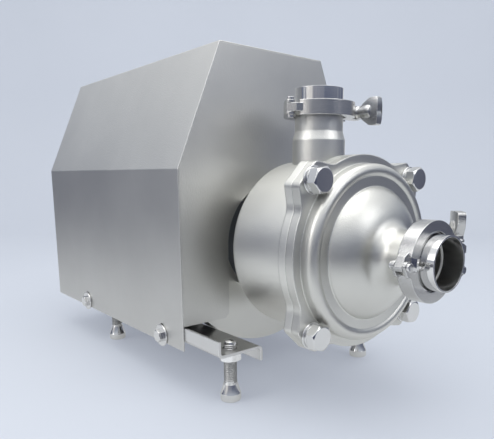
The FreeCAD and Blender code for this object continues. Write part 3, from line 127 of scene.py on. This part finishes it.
class Finish:
    """One material and the nodes that make it."""

    def __init__(self, name):
        self.material = bpy.data.materials.new(name)
        self.material.use_nodes = True
        self.tree = self.material.node_tree
        self.tree.nodes.clear()
        self.place = self.add("ShaderNodeTexCoord", output="Object")

    def add(self, kind, settings=None, inputs=None, output=0):
        """Adds a node, sets it first, then fills or links its sockets, and gives one output."""
        node = self.tree.nodes.new(kind)
        for name, value in (settings or {}).items():
            if name == "stops":
                self.set_stops(node, value)
            else:
                setattr(node, name, value)
        for key, item in (inputs or {}).items():
            if isinstance(item, Value):
                self.tree.links.new(item.socket, node.inputs[key])
            else:
                node.inputs[key].default_value = item
        return Value(self, node.outputs[output])

    def set_stops(self, node, stops):
        """Gives a colour ramp its stops."""
        ramp = node.color_ramp.elements
        while len(ramp) < len(stops):
            ramp.new(1.0)
        for element, (position, tone) in zip(ramp, stops):
            element.position = position
            element.color = (*tone, 1) if isinstance(tone, tuple) else (tone, tone, tone, 1)

    def noise(self, scale, detail=3.0, roughness=0.5, stretch=(1, 1, 1)):
        """Cloudy noise with a given number of waves to the metre; stretch squeezes it per axis."""
        point = self.add("ShaderNodeMapping", {}, {"Vector": self.place, "Scale": stretch})
        return self.add("ShaderNodeTexNoise", {}, {
            "Vector": point, "Scale": scale, "Detail": detail, "Roughness": roughness}, "Fac")

    def ramp(self, value, *stops):
        """Turns a number into a shade or colour by its stops."""
        return self.add("ShaderNodeValToRGB", {"stops": stops}, {"Fac": value}, "Color")

    def blend(self, first, second, amount):
        """Mixes two colours by an amount from 0 to 1."""
        return self.add("ShaderNodeMix", {"data_type": "RGBA"}, {0: amount, 6: first, 7: second}, 2)

    def edges(self, radius, gain=6.0):
        """How near the surface is to a sharp edge, from 0 to 1."""
        soft = self.add("ShaderNodeBevel", {"samples": 4}, {"Radius": radius})
        true = self.add("ShaderNodeNewGeometry", output="Normal")
        alike = self.add("ShaderNodeVectorMath", {"operation": "DOT_PRODUCT"}, {0: soft, 1: true}, "Value")
        return ((1.0 - alike) * gain).clamp()

    def relief(self, height, strength, distance, radius=0.0):
        """A bump from a height, over edges rounded by a radius."""
        inputs = {"Height": height, "Strength": strength, "Distance": distance}
        if radius:
            inputs["Normal"] = self.add("ShaderNodeBevel", {"samples": 6}, {"Radius": radius})
        return self.add("ShaderNodeBump", {}, inputs)

    def shown(self):
        """1 for what the camera sees straight or in a reflection, 0 for light on its way to a surface."""
        kinds = ("Camera", "Glossy", "Transmission")
        rays = [self.add("ShaderNodeLightPath", output=f"Is {kind} Ray") for kind in kinds]
        return (rays[0] + rays[1] + rays[2]).clamp()

    def mixed(self, amount, first, second):
        """Mixes two shaders by an amount from 0 to 1."""
        return self.add("ShaderNodeMixShader", {}, {0: amount, 1: first, 2: second})

    def principled(self, **sockets):
        """A surface shader from its sockets, named with underscores for spaces."""
        inputs = {name.replace("_", " "): item for name, item in sockets.items()}
        return self.add("ShaderNodeBsdfPrincipled", {}, inputs)

    def end(self, shader, kind="ShaderNodeOutputMaterial"):
        """Links the last shader to the output."""
        output = self.tree.nodes.new(kind)
        self.tree.links.new(shader.socket, output.inputs["Surface"])

    def surface(self, **sockets):
        """The finished material from the sockets of one surface shader."""
        self.end(self.principled(**sockets))
        return self.material


def shade(level, warmth=0.0):
    """A grey with a touch of warmth: a little more red and green, and less blue."""
    return (level * (1 + warmth * 0.5), level * (1 + warmth * 0.4), level * (1 - warmth), 1)


# %% [markdown]
# Nearly all of the pump is one steel in different finishes: blasted, ground, satin and polished. One
# function makes them all. A blasted face has a fine even relief and a broad highlight, a ground face
# has long fine lines, and a polished one keeps its roughness low with only faint clouds.


# %% Steel finishes
def steel(name, level, rough, grain, grain_scale, lines=(1, 1, 1), warmth=0.0, cloud=0.06,
          edge=0.0006, edge_light=0.25, rough_spread=0.08):
    """A stainless finish; lines squeezes the grain along the axes to make grinding marks."""
    finish = Finish(name)
    clouds = finish.noise(9, 4, 0.6)
    fine = finish.noise(grain_scale, 2, 0.5, lines)
    # Near sharp edges the colour is painted lighter: a painted highlight along each edge. The same edges
    # are also a little smoother.
    edge_highlight_mask = finish.edges(edge)
    dark = shade(level * (1 - cloud), warmth)
    light = shade(min(level * (1 + cloud), 1), warmth)
    bright = shade(min(level + edge_light, 0.95), warmth)
    tone = finish.blend(finish.blend(dark, light, clouds), bright, edge_highlight_mask * 0.7)
    roughness = rough - rough_spread / 2 + clouds * rough_spread + fine * rough_spread * 0.5 - edge_highlight_mask * 0.1
    return finish.surface(Base_Color=tone, Metallic=1.0, Roughness=roughness.clamp(),
                          Normal=finish.relief(fine, grain, 0.0004, edge))


hood_steel = steel("hood_blasted_steel", 0.61, 0.42, 0.6, 800, warmth=0.015, cloud=0.1,
                   edge=0.0016, edge_light=0.4)
nut_steel = steel("nut_satin_steel", 0.92, 0.24, 0.2, 1500, edge=0.0006)
thread_steel = steel("thread_rolled_steel", 0.42, 0.3, 0.3, 1500, edge=0.0003)
panel_steel = steel("panel_ground_steel", 0.66, 0.42, 0.45, 900, lines=(1, 1, 0.3), warmth=0.02,
                    cloud=0.1)
rail_steel = steel("rail_satin_steel", 0.68, 0.32, 0.2, 900, lines=(0.1, 1, 1), edge=0.0012,
                   edge_light=0.35)
casing_steel = steel("casing_satin_steel", 0.76, 0.32, 0.55, 1000, warmth=0.03, edge=0.0016,
                     rough_spread=0.12)
cover_steel = steel("cover_satin_steel", 0.66, 0.31, 0.5, 1000, warmth=0.03, edge=0.0016,
                    rough_spread=0.12)
lantern_steel = steel("lantern_turned_steel", 0.74, 0.38, 0.3, 1400, warmth=0.03)
bolt_steel = steel("bolt_polished_steel", 0.70, 0.14, 0.03, 700, edge=0.0008)
clamp_steel = steel("clamp_cast_steel", 0.56, 0.2, 0.35, 1100, cloud=0.12, edge=0.001)
shaft_steel = steel("shaft_ground_steel", 0.58, 0.22, 0.05, 900, lines=(0.1, 1, 1))
core_steel = steel("core_stacked_steel", 0.35, 0.45, 0.4, 600, lines=(8, 0.1, 0.1))
motor_aluminium = steel("motor_cast_aluminium", 0.52, 0.50, 0.4, 900)


# %% [markdown]
# The two stubs are polished outside and a little duller inside the bore, where fine rings run round.
# The finish tells inside from outside by the distance from the stub's own axis.


# %% Stub finish
BETWEEN_BORE_AND_TUBE = 0.0246
STEP_SHARPNESS = 4000.0


def stub_finish(name, point, mask):
    """Polished outside, duller near the axis through a point, with painted light in the bore; mask is 0
    along the axis.
    """
    finish = Finish(name)
    away = finish.add("ShaderNodeVectorMath", {"operation": "SUBTRACT"}, {0: finish.place, 1: point})
    flat = finish.add("ShaderNodeVectorMath", {"operation": "MULTIPLY"}, {0: away, 1: mask})
    distance = finish.add("ShaderNodeVectorMath", {"operation": "LENGTH"}, {0: flat}, "Value")
    inside = ((BETWEEN_BORE_AND_TUBE - distance) * STEP_SHARPNESS).clamp()
    clouds = finish.noise(12, 4, 0.6)
    rings = finish.noise(900, 2, 0.5, tuple(1.0 - 0.9 * part for part in mask))
    # Near sharp edges the colour is painted lighter: a painted highlight along each edge.
    edge_highlight_mask = finish.edges(0.0005)
    tone = finish.blend(shade(0.70), shade(0.80), clouds)
    # Inside the bore the colour is painted lighter: painted light in the bore, besides its rougher finish.
    tone = finish.blend(tone, shade(0.92), (inside * 0.6 + edge_highlight_mask * 0.5).clamp())
    roughness = (0.08 + clouds * 0.05 + inside * 0.1).clamp()
    return finish.surface(Base_Color=tone, Metallic=1.0, Roughness=roughness,
                          Normal=finish.relief(rings, 0.05, 0.0003, 0.0004))


suction_stub = stub_finish("suction_stub_polished", (0, 0, SHAFT_HEIGHT * MM), (0, 1, 1))
discharge_stub = stub_finish("discharge_stub_polished", (DISCHARGE_X * MM, 0, 0), (1, 1, 0))

# %% [markdown]
# What isn't bare metal is out of sight under the hood: paint, plastic, copper, carbon and rubber.
# Each still has its own clouds and relief, because the hood lifts off.


# %% Other finishes
def coat(name, colour, rough, grain, grain_scale, metallic=0.0, coat_weight=0.0):
    """Paint, plastic, rubber or ceramic: a colour with faint clouds over a fine relief."""
    finish = Finish(name)
    clouds = finish.noise(14, 4, 0.6)
    fine = finish.noise(grain_scale, 3, 0.55)
    dark = tuple(channel * 0.85 for channel in colour) + (1,)
    light = tuple(min(channel * 1.12, 1) for channel in colour) + (1,)
    bright = tuple(min(channel * 1.4 + 0.05, 1) for channel in colour) + (1,)
    tone = finish.blend(dark, light, clouds)
    # Near sharp edges the colour is painted lighter: a painted highlight along each edge.
    tone = finish.blend(tone, bright, finish.edges(0.0008) * 0.5)
    roughness = (rough - 0.05 + fine * 0.1).clamp()
    return finish.surface(Base_Color=tone, Metallic=metallic, Roughness=roughness, Coat_Weight=coat_weight,
                          Normal=finish.relief(fine, grain, 0.0004, 0.0005))


cowl_paint = coat("cowl_paint", (0.22, 0.24, 0.27), 0.42, 0.2, 900, coat_weight=0.3)
motor_iron = coat("motor_painted_iron", (0.24, 0.26, 0.29), 0.5, 0.5, 500, coat_weight=0.2)
fan_plastic = coat("fan_moulded_plastic", (0.05, 0.05, 0.055), 0.55, 0.3, 1200)
winding_copper = coat("winding_varnished_copper", (0.62, 0.28, 0.13), 0.3, 0.6, 600, 0.9, 0.5)
carbon = coat("lapped_carbon", (0.05, 0.05, 0.055), 0.3, 0.1, 1500)
ceramic = coat("lapped_ceramic", (0.85, 0.83, 0.78), 0.2, 0.05, 900)
elastomer = coat("moulded_rubber", (0.03, 0.03, 0.03), 0.6, 0.4, 1500)
white_seal = coat("white_seal", (0.82, 0.81, 0.78), 0.5, 0.2, 1200)

FINISHES = {
    "shroud_steel": hood_steel, "panel_steel": panel_steel, "rail_steel": rail_steel,
    "bolt_steel": bolt_steel, "casing_steel": casing_steel, "lantern_steel": lantern_steel,
    "tube_steel": suction_stub, "clamp_steel": clamp_steel, "motor_aluminium": motor_aluminium,
    "motor_iron": motor_iron, "cowl_paint": cowl_paint, "core_steel": core_steel,
    "shaft_steel": shaft_steel, "winding_copper": winding_copper, "fan_plastic": fan_plastic,
    "gland_plastic": fan_plastic, "carbon": carbon, "ceramic": ceramic, "elastomer": elastomer,
    "white_seal": white_seal,
}
OWN_FINISHES = {"discharge_ferrule": discharge_stub, "front_cover": cover_steel}
for part in frame["record"]["subparts"]:
    slots = nodes[part["node"]].data.materials
    slots.clear()
    slots.append(OWN_FINISHES.get(part["node"]) or FINISHES[part["material_slot"]])

# %% [markdown]
# Small fasteners are left plain in the solid model and get their real shape here: chamfered hexagon
# heads, split spring washers and threaded studs. Each new piece is a bmesh, shaped by operators, given
# smooth shading with crisp edges, and tied to the body that carries it.

# %% Helpers for new pieces
SHARP_ANGLE = math.radians(24)


def settle(name, form, finish, body, slot, *stands_for):
    """Turns a form into an object with its finish, on its body, in place of the named nodes."""
    bmesh.ops.remove_doubles(form, verts=form.verts, dist=1e-6)
    bmesh.ops.recalc_face_normals(form, faces=form.faces)
    mesh = bpy.data.meshes.new(name)
    form.to_mesh(mesh)
    form.free()
    mesh.shade_smooth()
    mesh.set_sharp_from_angle(angle=SHARP_ANGLE)
    mesh.materials.append(finish)
    piece = bpy.data.objects.new(name, mesh)
    bpy.context.scene.collection.objects.link(piece)
    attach(piece, body)
    if stands_for:
        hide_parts(*stands_for)
    print(name, len(mesh.polygons), "faces")


def chain(form, points):
    """A line of edges through (radius, height) points in the XZ plane."""
    corners = [form.verts.new((radius, 0, height)) for radius, height in points]
    for first, second in zip(corners, corners[1:]):
        form.edges.new((first, second))
    return corners


def turned_form(points, steps=64):
    """A solid or ring turned about Z from (radius, height) points in millimetres."""
    form = bmesh.new()
    chain(form, [(radius * MM, height * MM) for radius, height in points])
    bmesh.ops.spin(form, geom=form.verts[:] + form.edges[:], cent=(0, 0, 0), axis=(0, 0, 1),
                   angle=math.tau, steps=steps, use_merge=True)
    bmesh.ops.remove_doubles(form, verts=form.verts, dist=1e-7)
    bmesh.ops.dissolve_degenerate(form, edges=form.edges, dist=1e-7)
    bmesh.ops.recalc_face_normals(form, faces=form.faces)
    return form


def copies(source, places):
    """One form made of copies of another, each moved by its matrix."""
    mesh = bpy.data.meshes.new("copy")
    source.to_mesh(mesh)
    source.free()
    whole = bmesh.new()
    for place in places:
        before = set(whole.verts)
        whole.from_mesh(mesh)
        bmesh.ops.transform(whole, matrix=place, verts=[v for v in whole.verts if v not in before])
    bpy.data.meshes.remove(mesh)
    return whole


def everything(form):
    """All the points, edges and faces of a form."""
    return form.verts[:] + form.edges[:] + form.faces[:]


def cut_flats(form, across, sides=6):
    """Planes off flat sides round Z and closes the cuts."""
    for number in range(sides):
        angle = math.tau * (number + 0.5) / sides
        normal = Vector((math.cos(angle), math.sin(angle), 0))
        cut = bmesh.ops.bisect_plane(form, geom=everything(form), plane_co=normal * across * MM / 2,
                                     plane_no=normal, clear_outer=True)
        rim = [item for item in cut["geom_cut"] if isinstance(item, bmesh.types.BMEdge)]
        bmesh.ops.holes_fill(form, edges=rim, sides=0)


# The round top face of a head or nut, as a share of the width across its flats.
FACE_SHARE = 0.47
HEX_STEPS = 96


def chamfer(across):
    """The radius of a hexagon's round face, its corner radius, and the chamfer's drop between them."""
    face = across * FACE_SHARE
    corner = across / math.sqrt(3)
    return face, corner, (corner - face) * math.tan(math.radians(30))


def hex_head(across, height, shank_radius, shank_length):
    """A chamfered hexagon head on z = 0 with its shank below."""
    face, corner, drop = chamfer(across)
    form = turned_form([(0, height), (face, height), (corner, height - drop), (corner, 0.4),
                        (corner - 0.6, 0), (0, 0)], HEX_STEPS)
    cut_flats(form, across)
    shank = turned_form([(0, 0.05), (shank_radius, 0.05), (shank_radius, -shank_length + 1),
                         (shank_radius - 1, -shank_length), (0, -shank_length)], 32)
    return joined(form, shank)


def joined(*forms):
    """Several forms as one."""
    whole = bmesh.new()
    for form in forms:
        mesh = bpy.data.meshes.new("part")
        form.to_mesh(mesh)
        form.free()
        whole.from_mesh(mesh)
        bpy.data.meshes.remove(mesh)
    return whole


def facing(axis, x, y, z, spin=0):
    """The matrix that lays Z along an axis at a point in millimetres, after a spin in degrees."""
    turn = Vector((0, 0, 1)).rotation_difference(Vector(axis)).to_matrix().to_4x4()
    return Matrix.Translation(Vector((x, y, z)) * MM) @ turn @ Matrix.Rotation(math.radians(spin), 4, "Z")


# %% [markdown]
# Four screws hold the cover. The top face of a head is a flat mirror with a turned chamfer round it, so
# it is cut from a round blank, as the real head is, and the curved corner lines come by themselves.

# %% Cover bolts and washers
HEAD_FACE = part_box("cover_bolts")[1].x / MM
COVER_BOLT_HEAD = 10
COVER_BOLT_ACROSS = 22.6
COVER_BOLT_CIRCLE = 102.2
COVER_BOLT_RADIUS = 8
COVER_BOLT_LENGTH = 24.6
offset = COVER_BOLT_CIRCLE * math.sqrt(0.5)
bolt_places = [(side * offset, SHAFT_HEIGHT + up * offset) for side in (-1, 1) for up in (-1, 1)]
bolt_turns = (12, 40, 25, 52)
turned_places = list(zip(bolt_places, bolt_turns))
heads = copies(hex_head(COVER_BOLT_ACROSS, COVER_BOLT_HEAD, COVER_BOLT_RADIUS, COVER_BOLT_LENGTH),
               [facing((1, 0, 0), HEAD_FACE - COVER_BOLT_HEAD, y, z, spin)
                for (y, z), spin in turned_places])
settle("cover_bolt_set", heads, bolt_steel, "base", "bolt_steel", "cover_bolts")


def swept_section(points, angle, steps, rise=0.0):
    """A closed section of (radius, height) points in millimetres, spun round Z while it rises."""
    form = bmesh.new()
    corners = chain(form, [(radius * MM, height * MM) for radius, height in points])
    form.edges.new((corners[-1], corners[0]))
    section = form.faces.new(corners)
    bmesh.ops.spin(form, geom=[section] + section.edges[:] + section.verts[:], cent=(0, 0, 0),
                   axis=(0, 0, 1), angle=angle, steps=steps, dvec=(0, 0, rise * MM))
    return form


def split_washer(inner, outer, thick, gap_degrees=8):
    """A spring washer: a square section spun not quite all the way round, its ends a little apart."""
    section = [(inner, 0), (outer, 0), (outer, thick), (inner, thick)]
    return swept_section(section, math.tau - math.radians(gap_degrees), 60)


spring_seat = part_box("cover_spring_washers")[0].x / MM
split_places = [facing((1, 0, 0), spring_seat, y, z, spin * 3) for (y, z), spin in turned_places]
settle("cover_spring_washer_set", copies(split_washer(8.5, 11.9, 2.6), split_places), bolt_steel, "base",
       "bolt_steel", "cover_spring_washers")
flat = turned_form([(8.5, 0), (12.8, 0), (13.2, 0.4), (13.2, 1.6), (12.8, 2), (8.5, 2), (8.5, 0)], 64)
flat_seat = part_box("cover_flat_washers")[0].x / MM
flat_places = [facing((1, 0, 0), flat_seat, y, z) for y, z in bolt_places]
settle("cover_flat_washer_set", copies(flat, flat_places), bolt_steel, "base", "bolt_steel",
       "cover_flat_washers")

# %% [markdown]
# The hood hangs on four screws at its lower edge, each with a wide washer that reaches past the edge.
# The slots behind them are open below, so the hood lifts straight off when the screws are slackened.

# %% Side screws and washers
SIDE_SPACING = 218
SIDE_ACROSS = 13
SIDE_HEAD = 5.3
SIDE_RADIUS = 4
SIDE_LENGTH = 21.9
washer_low, washer_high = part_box("side_washers")
middle_x = (washer_low.x + washer_high.x) / 2 / MM
screw_z = (washer_low.z + washer_high.z) / 2 / MM
washer_y = washer_high.y / MM
side_places = [(middle_x + end * SIDE_SPACING / 2, side) for end in (-1, 1) for side in (-1, 1)]
side_heads = copies(hex_head(SIDE_ACROSS, SIDE_HEAD, SIDE_RADIUS, SIDE_LENGTH),
                    [facing((0, side, 0), x, side * washer_y, screw_z, 20 * number)
                     for number, (x, side) in enumerate(side_places)])
settle("side_screw_set", side_heads, bolt_steel, "base", "bolt_steel", "side_screws")
wide = turned_form([(4.5, -2), (12.1, -2), (12.5, -1.6), (12.5, -0.4), (12.1, 0), (4.5, 0), (4.5, -2)], 64)
wide_places = [facing((0, side, 0), x, side * washer_y, screw_z) for x, side in side_places]
settle("side_washer_set", copies(wide, wide_places), bolt_steel, "base", "bolt_steel", "side_washers")

# %% [markdown]
# A levelling foot is a threaded stud with a conical foot. The thread is a helix: a small V section
# swept round while it rises one pitch per turn, wrapped round a plain core. The V stops a little short
# of a whole pitch, so that one turn doesn't touch the next.

# %% Levelling feet and their nuts
STUD_RADIUS = 7
THREAD_PITCH = 2.0
THREAD_DEPTH = 0.85
THREAD_WIDTH = THREAD_PITCH * 0.96
THREAD_LOW = 20
THREAD_HIGH = 62
STEPS_PER_TURN = 28


def stud_thread():
    """The V thread of a foot, swept up round Z."""
    root = STUD_RADIUS - THREAD_DEPTH
    section = [(root, THREAD_LOW), (STUD_RADIUS, THREAD_LOW + THREAD_PITCH / 2),
               (root, THREAD_LOW + THREAD_WIDTH)]
    turns = int((THREAD_HIGH - THREAD_LOW) / THREAD_PITCH) - 1
    return swept_section(section, math.tau * turns, turns * STEPS_PER_TURN, THREAD_PITCH / STEPS_PER_TURN)


def levelling_foot(name, x, y, spin):
    """A foot and its thread on the foot's own body, at a point in millimetres."""
    body_form = turned_form([
        (0, 66), (3, 65.6), (5.4, 64.2), (6.2, THREAD_HIGH), (6.2, THREAD_LOW), (STUD_RADIUS, THREAD_LOW),
        (STUD_RADIUS, 18.9), (7.6, 18.5), (8.6, 14.5), (10.4, 9), (10.9, 8), (10.9, 1.6), (10.4, 0.5),
        (9.4, 0), (0, 0)], 48)
    thread = stud_thread()
    foot = name.replace("levelling_", "")
    for label, form, finish in (("turned", body_form, bolt_steel), ("thread", thread, thread_steel)):
        bmesh.ops.transform(form, matrix=facing((0, 0, 1), x, y, 0, spin), verts=form.verts)
        settle(f"{name}_{label}", form, finish, foot, "bolt_steel", name)


def hex_nut(across, height, bore):
    """A nut with both faces chamfered; the stud fills its middle, so no bore is cut."""
    face, corner, drop = chamfer(across)
    outer = turned_form([(0, 0), (face, 0), (corner, drop), (corner, height - drop), (face, height),
                         (0, height)], HEX_STEPS)
    cut_flats(outer, across)
    bmesh.ops.inset_region(outer, faces=[side for side in outer.faces if abs(side.normal.z) > 0.99],
                           thickness=(face - bore - 0.5) * MM)
    return outer


JAM_NUT_ACROSS = 21
JAM_NUT_HEIGHT = 10
JAM_NUT_BORE = 7.2
nut_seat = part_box("foot_jam_nuts")[1].z / MM - JAM_NUT_HEIGHT
nut_places = []
for number, foot_name in enumerate(sorted(name for name in nodes if name.startswith("levelling_foot"))):
    low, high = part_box(foot_name)
    foot_x, foot_y = (low.x + high.x) / 2 / MM, (low.y + high.y) / 2 / MM
    levelling_foot(foot_name, foot_x, foot_y, 70 * number)
    nut_places.append(facing((0, 0, 1), foot_x, foot_y, nut_seat, 34 + 25 * number))
jam_nuts = copies(hex_nut(JAM_NUT_ACROSS, JAM_NUT_HEIGHT, JAM_NUT_BORE), nut_places)
settle("jam_nut_set", jam_nuts, nut_steel, "base", "bolt_steel", "foot_jam_nuts")

# %% [markdown]
# A wing nut closes each clamp. The real one is cast: a round boss with a closed fan of two thick wings,
# thinner towards the tips, so its flat outline is given soft edges all round.

# %% Wing nuts
WING_HALF_THICK = 4.9
WING_TAPER = 0.09
WING_EDGE = 1.0


def wing_nut_form():
    """A wing nut along Z from its bolt's pin, wings along X."""
    boss = turned_form([(3.55, 13.3), (6.6, 13.3), (7.2, 14), (7.2, 15.5), (6.2, 17), (6.2, 20), (7.2, 26),
                        (7.6, 30), (6.8, 33), (4.6, 34.2), (3.55, 34.3), (3.55, 13.3)], 48)
    half = [(0, 20.5), (5.8, 20.5), (8.6, 23.1), (13.4, 30.1), (14.4, 32.3), (14.6, 40.1), (13.6, 42.1),
            (9, 42.8), (2.6, 42.8), (1.4, 42.2), (0, 42.1)]
    outline = half + [(-x, z) for x, z in reversed(half[1:-1])]
    wings = bmesh.new()
    near, far = ([wings.verts.new((x * MM, side * (WING_HALF_THICK - abs(x) * WING_TAPER) * MM, z * MM))
                  for x, z in outline] for side in (-1, 1))
    wings.faces.new(near)
    wings.faces.new(far[::-1])
    for index in range(len(outline)):
        wings.faces.new((near[index - 1], near[index], far[index], far[index - 1]))
    bmesh.ops.triangulate(wings, faces=[face for face in wings.faces if len(face.verts) > 4])
    bmesh.ops.recalc_face_normals(wings, faces=wings.faces)
    rims = [edge for edge in wings.edges if edge.calc_face_angle(0) > math.radians(50)]
    bmesh.ops.bevel(wings, geom=rims, offset=WING_EDGE * MM, segments=3, profile=0.6, affect="EDGES",
                    clamp_overlap=True)
    return joined(boss, wings)


def laid(axis, across, x, y, z):
    """The matrix that lays Z along an axis and X along another direction at a point in millimetres."""
    axis, across = Vector(axis).normalized(), Vector(across).normalized()
    turn = Matrix((across, axis.cross(across), axis)).transposed().to_4x4()
    return Matrix.Translation(Vector((x, y, z)) * MM) @ turn


SWING_PIN_Y = 47
for port, axis, across in (("discharge", (1, 0, 0), (0, 0, 1)), ("suction", (0, 0, 1), (-1, 1, 0))):
    bolt_low, bolt_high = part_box(f"{port}_clamp_swing_bolt")
    centre = (bolt_low + bolt_high) / 2 / MM
    pin_x = DISCHARGE_X if port == "discharge" else centre.x
    pin_z = centre.z if port == "discharge" else SHAFT_HEIGHT
    nut = copies(wing_nut_form(), [laid(axis, across, pin_x, SWING_PIN_Y, pin_z)])
    settle(f"{port}_wing_nut_cast", nut, clamp_steel, f"{port}_clamp_nut", "clamp_steel",
           f"{port}_clamp_wing_nut")

# %% [markdown]
# The pump stands on a pale sheet that curves up behind it, as in a small photo booth. Bright metal
# shows its surroundings more than its own colour, so the rest of the room matters: dark blue near the
# horizon with uneven upright light patches and a few plain screens, and brighter towards the ceiling.
# The sheet is shown a little paler, to the camera and in reflections, than the lights alone make it.


# %% Floor and surroundings
PAPER_DARK = (0.55, 0.585, 0.635, 1)
PAPER_LIGHT = (0.62, 0.655, 0.705, 1)
PAPER_SEEN = (0.62, 0.67, 0.80, 1)
PAPER_MIRRORED = (0.86, 0.86, 0.84, 1)
SEEN_SHARE = 0.36
MIRRORED_SHARE = 0.42
HAZE = (0.66, 0.71, 0.80, 1)
HAZE_SHARE = 0.8


class Room(Finish):
    """The world outside the booth, made with the same helpers as a finish."""

    def __init__(self, name):
        self.world = bpy.data.worlds.new(name)
        self.world.use_nodes = True
        self.tree = self.world.node_tree
        self.tree.nodes.clear()
        self.place = self.add("ShaderNodeTexCoord", output="Generated")

    def lit(self, seen, light_colour, light_strength):
        """Shows one colour in reflections and, hazier, to the camera, and lights the rest with another."""
        straight = self.add("ShaderNodeLightPath", output="Is Camera Ray")
        haze = self.blend(seen, HAZE, straight * HAZE_SHARE)
        picture = self.add("ShaderNodeBackground", {}, {"Color": haze})
        light = self.add("ShaderNodeBackground", {}, {"Color": light_colour, "Strength": light_strength})
        self.end(self.mixed(self.shown(), light, picture), "ShaderNodeOutputWorld")


def sheet_finish():
    """Pale paper, shown paler and bluer to the camera and paler in reflections than it is lit."""
    finish = Finish("booth_sheet")
    clouds = finish.noise(1.5, 3, 0.5)
    tone = finish.blend(PAPER_DARK, PAPER_LIGHT, clouds)
    paper = finish.principled(Base_Color=tone, Roughness=0.6 + clouds * 0.1,
                              Normal=finish.relief(finish.noise(40, 4, 0.5), 0.05, 0.001))
    pale = finish.add("ShaderNodeEmission", {}, {"Color": PAPER_SEEN})
    mirrored = finish.add("ShaderNodeEmission", {}, {"Color": PAPER_MIRRORED})
    straight = finish.add("ShaderNodeLightPath", output="Is Camera Ray")
    seen_paper = finish.mixed(straight * SEEN_SHARE, paper, pale)
    finish.end(finish.mixed((finish.shown() - straight) * MIRRORED_SHARE, seen_paper, mirrored))
    return finish.material


BEND_STEPS = 24


def booth_sheet(near, far, bend, top, near_half, far_half):
    """A sheet, wider at the back, that lies flat under the pump and rises in a curve behind it."""
    form = bmesh.new()
    turns = [math.radians(90) * step / BEND_STEPS for step in range(1, BEND_STEPS + 1)]
    line = [(-near, 0.0), (far, 0.0)]
    line += [(far + bend * math.sin(turn), bend * (1 - math.cos(turn))) for turn in turns]
    line.append((far + bend, top))
    spread = (far_half - near_half) / (near + far + bend)
    rows = [[form.verts.new((side * (near_half + (near + reach) * spread), reach, up))
             for reach, up in line] for side in (-1, 1)]
    for index in range(len(line) - 1):
        form.faces.new((rows[0][index], rows[1][index], rows[1][index + 1], rows[0][index + 1]))
    bmesh.ops.rotate(form, verts=form.verts, cent=(0, 0, 0), matrix=Matrix.Rotation(CAMERA_TURN, 3, "Z"))
    data = bpy.data.meshes.new("booth_sheet")
    form.to_mesh(data)
    form.free()
    data.shade_smooth()
    data.materials.append(sheet_finish())
    sheet = bpy.data.objects.new("booth_sheet", data)
    bpy.context.scene.collection.objects.link(sheet)
    return sheet


booth_sheet(near=0.7, far=1.35, bend=0.65, top=2.8, near_half=0.55, far_half=1.7)

room = Room("room")
forward, sideways, height = (
    room.add("ShaderNodeSeparateXYZ", {}, {0: room.place}, letter) for letter in "XYZ")
bearing = sideways.maths("ARCTAN2", sideways, forward)
# The noise varies with the bearing alone, so its patches stand upright.
ring = room.add("ShaderNodeCombineXYZ", {}, {0: bearing * 1.6, 1: 3.7})
drapes = room.add("ShaderNodeTexNoise", {}, {
    "Vector": ring, "Scale": 1.9, "Detail": 2.5, "Roughness": 0.6}, "Fac")
strips = (drapes - 0.53) * 9.0
low_wall = 1.0 - (height * 2.4).clamp()
rising = room.ramp(height * 0.5 + 0.5, (0.0, (0.14, 0.15, 0.19)), (0.5, (0.06, 0.07, 0.12)),
                   (0.57, (0.13, 0.15, 0.22)), (0.67, (0.46, 0.50, 0.57)), (0.81, (0.95, 0.97, 1.0)))
aside = (1.0 - forward * 1.1).clamp()
seen = room.blend(rising, (0.95, 0.97, 1.0, 1), strips.clamp() * low_wall * aside * 0.8)
# The screens stand at bearings that a turn from 0 to 1 gives.
screens = room.ramp(bearing / math.tau + 0.5, (0.0, 0.0), (0.185, 0.0), (0.205, 0.9), (0.275, 0.9),
                    (0.295, 0.2), (0.43, 0.12), (0.445, 0.0), (0.50, 0.0), (0.60, 0.05), (0.70, 0.0),
                    (0.84, 0.0), (0.87, 0.8), (0.92, 0.8), (0.95, 0.0))
above_middle = height - 0.05
near_horizon = (1.5 - above_middle.maths("ABSOLUTE", above_middle) * 5.0).clamp()
seen = room.blend(seen, (0.90, 0.88, 0.86, 1), screens * near_horizon)
room.lit(seen, light_colour=(0.94, 0.96, 1.0, 1), light_strength=0.85)
bpy.context.scene.world = room.world


def softbox(name, place, target, size, power, tint=(1, 1, 1)):
    """A square area light that looks at a point."""
    data = bpy.data.lights.new(name, "AREA")
    data.size = size
    data.energy = power
    data.color = tint
    lamp = bpy.data.objects.new(name, data)
    bpy.context.scene.collection.objects.link(lamp)
    lamp.location = place
    lamp.rotation_euler = (Vector(target) - Vector(place)).to_track_quat("-Z", "Y").to_euler()


softbox("ceiling_light", (0.1, -0.1, 1.7), (0, 0, 0.15), size=1.9, power=18, tint=(1.0, 0.99, 0.96))
softbox("left_light", (-0.4, -1.7, 1.1), (0, 0, 0.2), size=0.9, power=6, tint=(1.0, 0.97, 0.92))
softbox("right_light", (1.6, 0.5, 1.1), (0.1, 0, 0.15), size=0.7, power=3)
bpy.context.scene.view_settings.view_transform = "Standard"
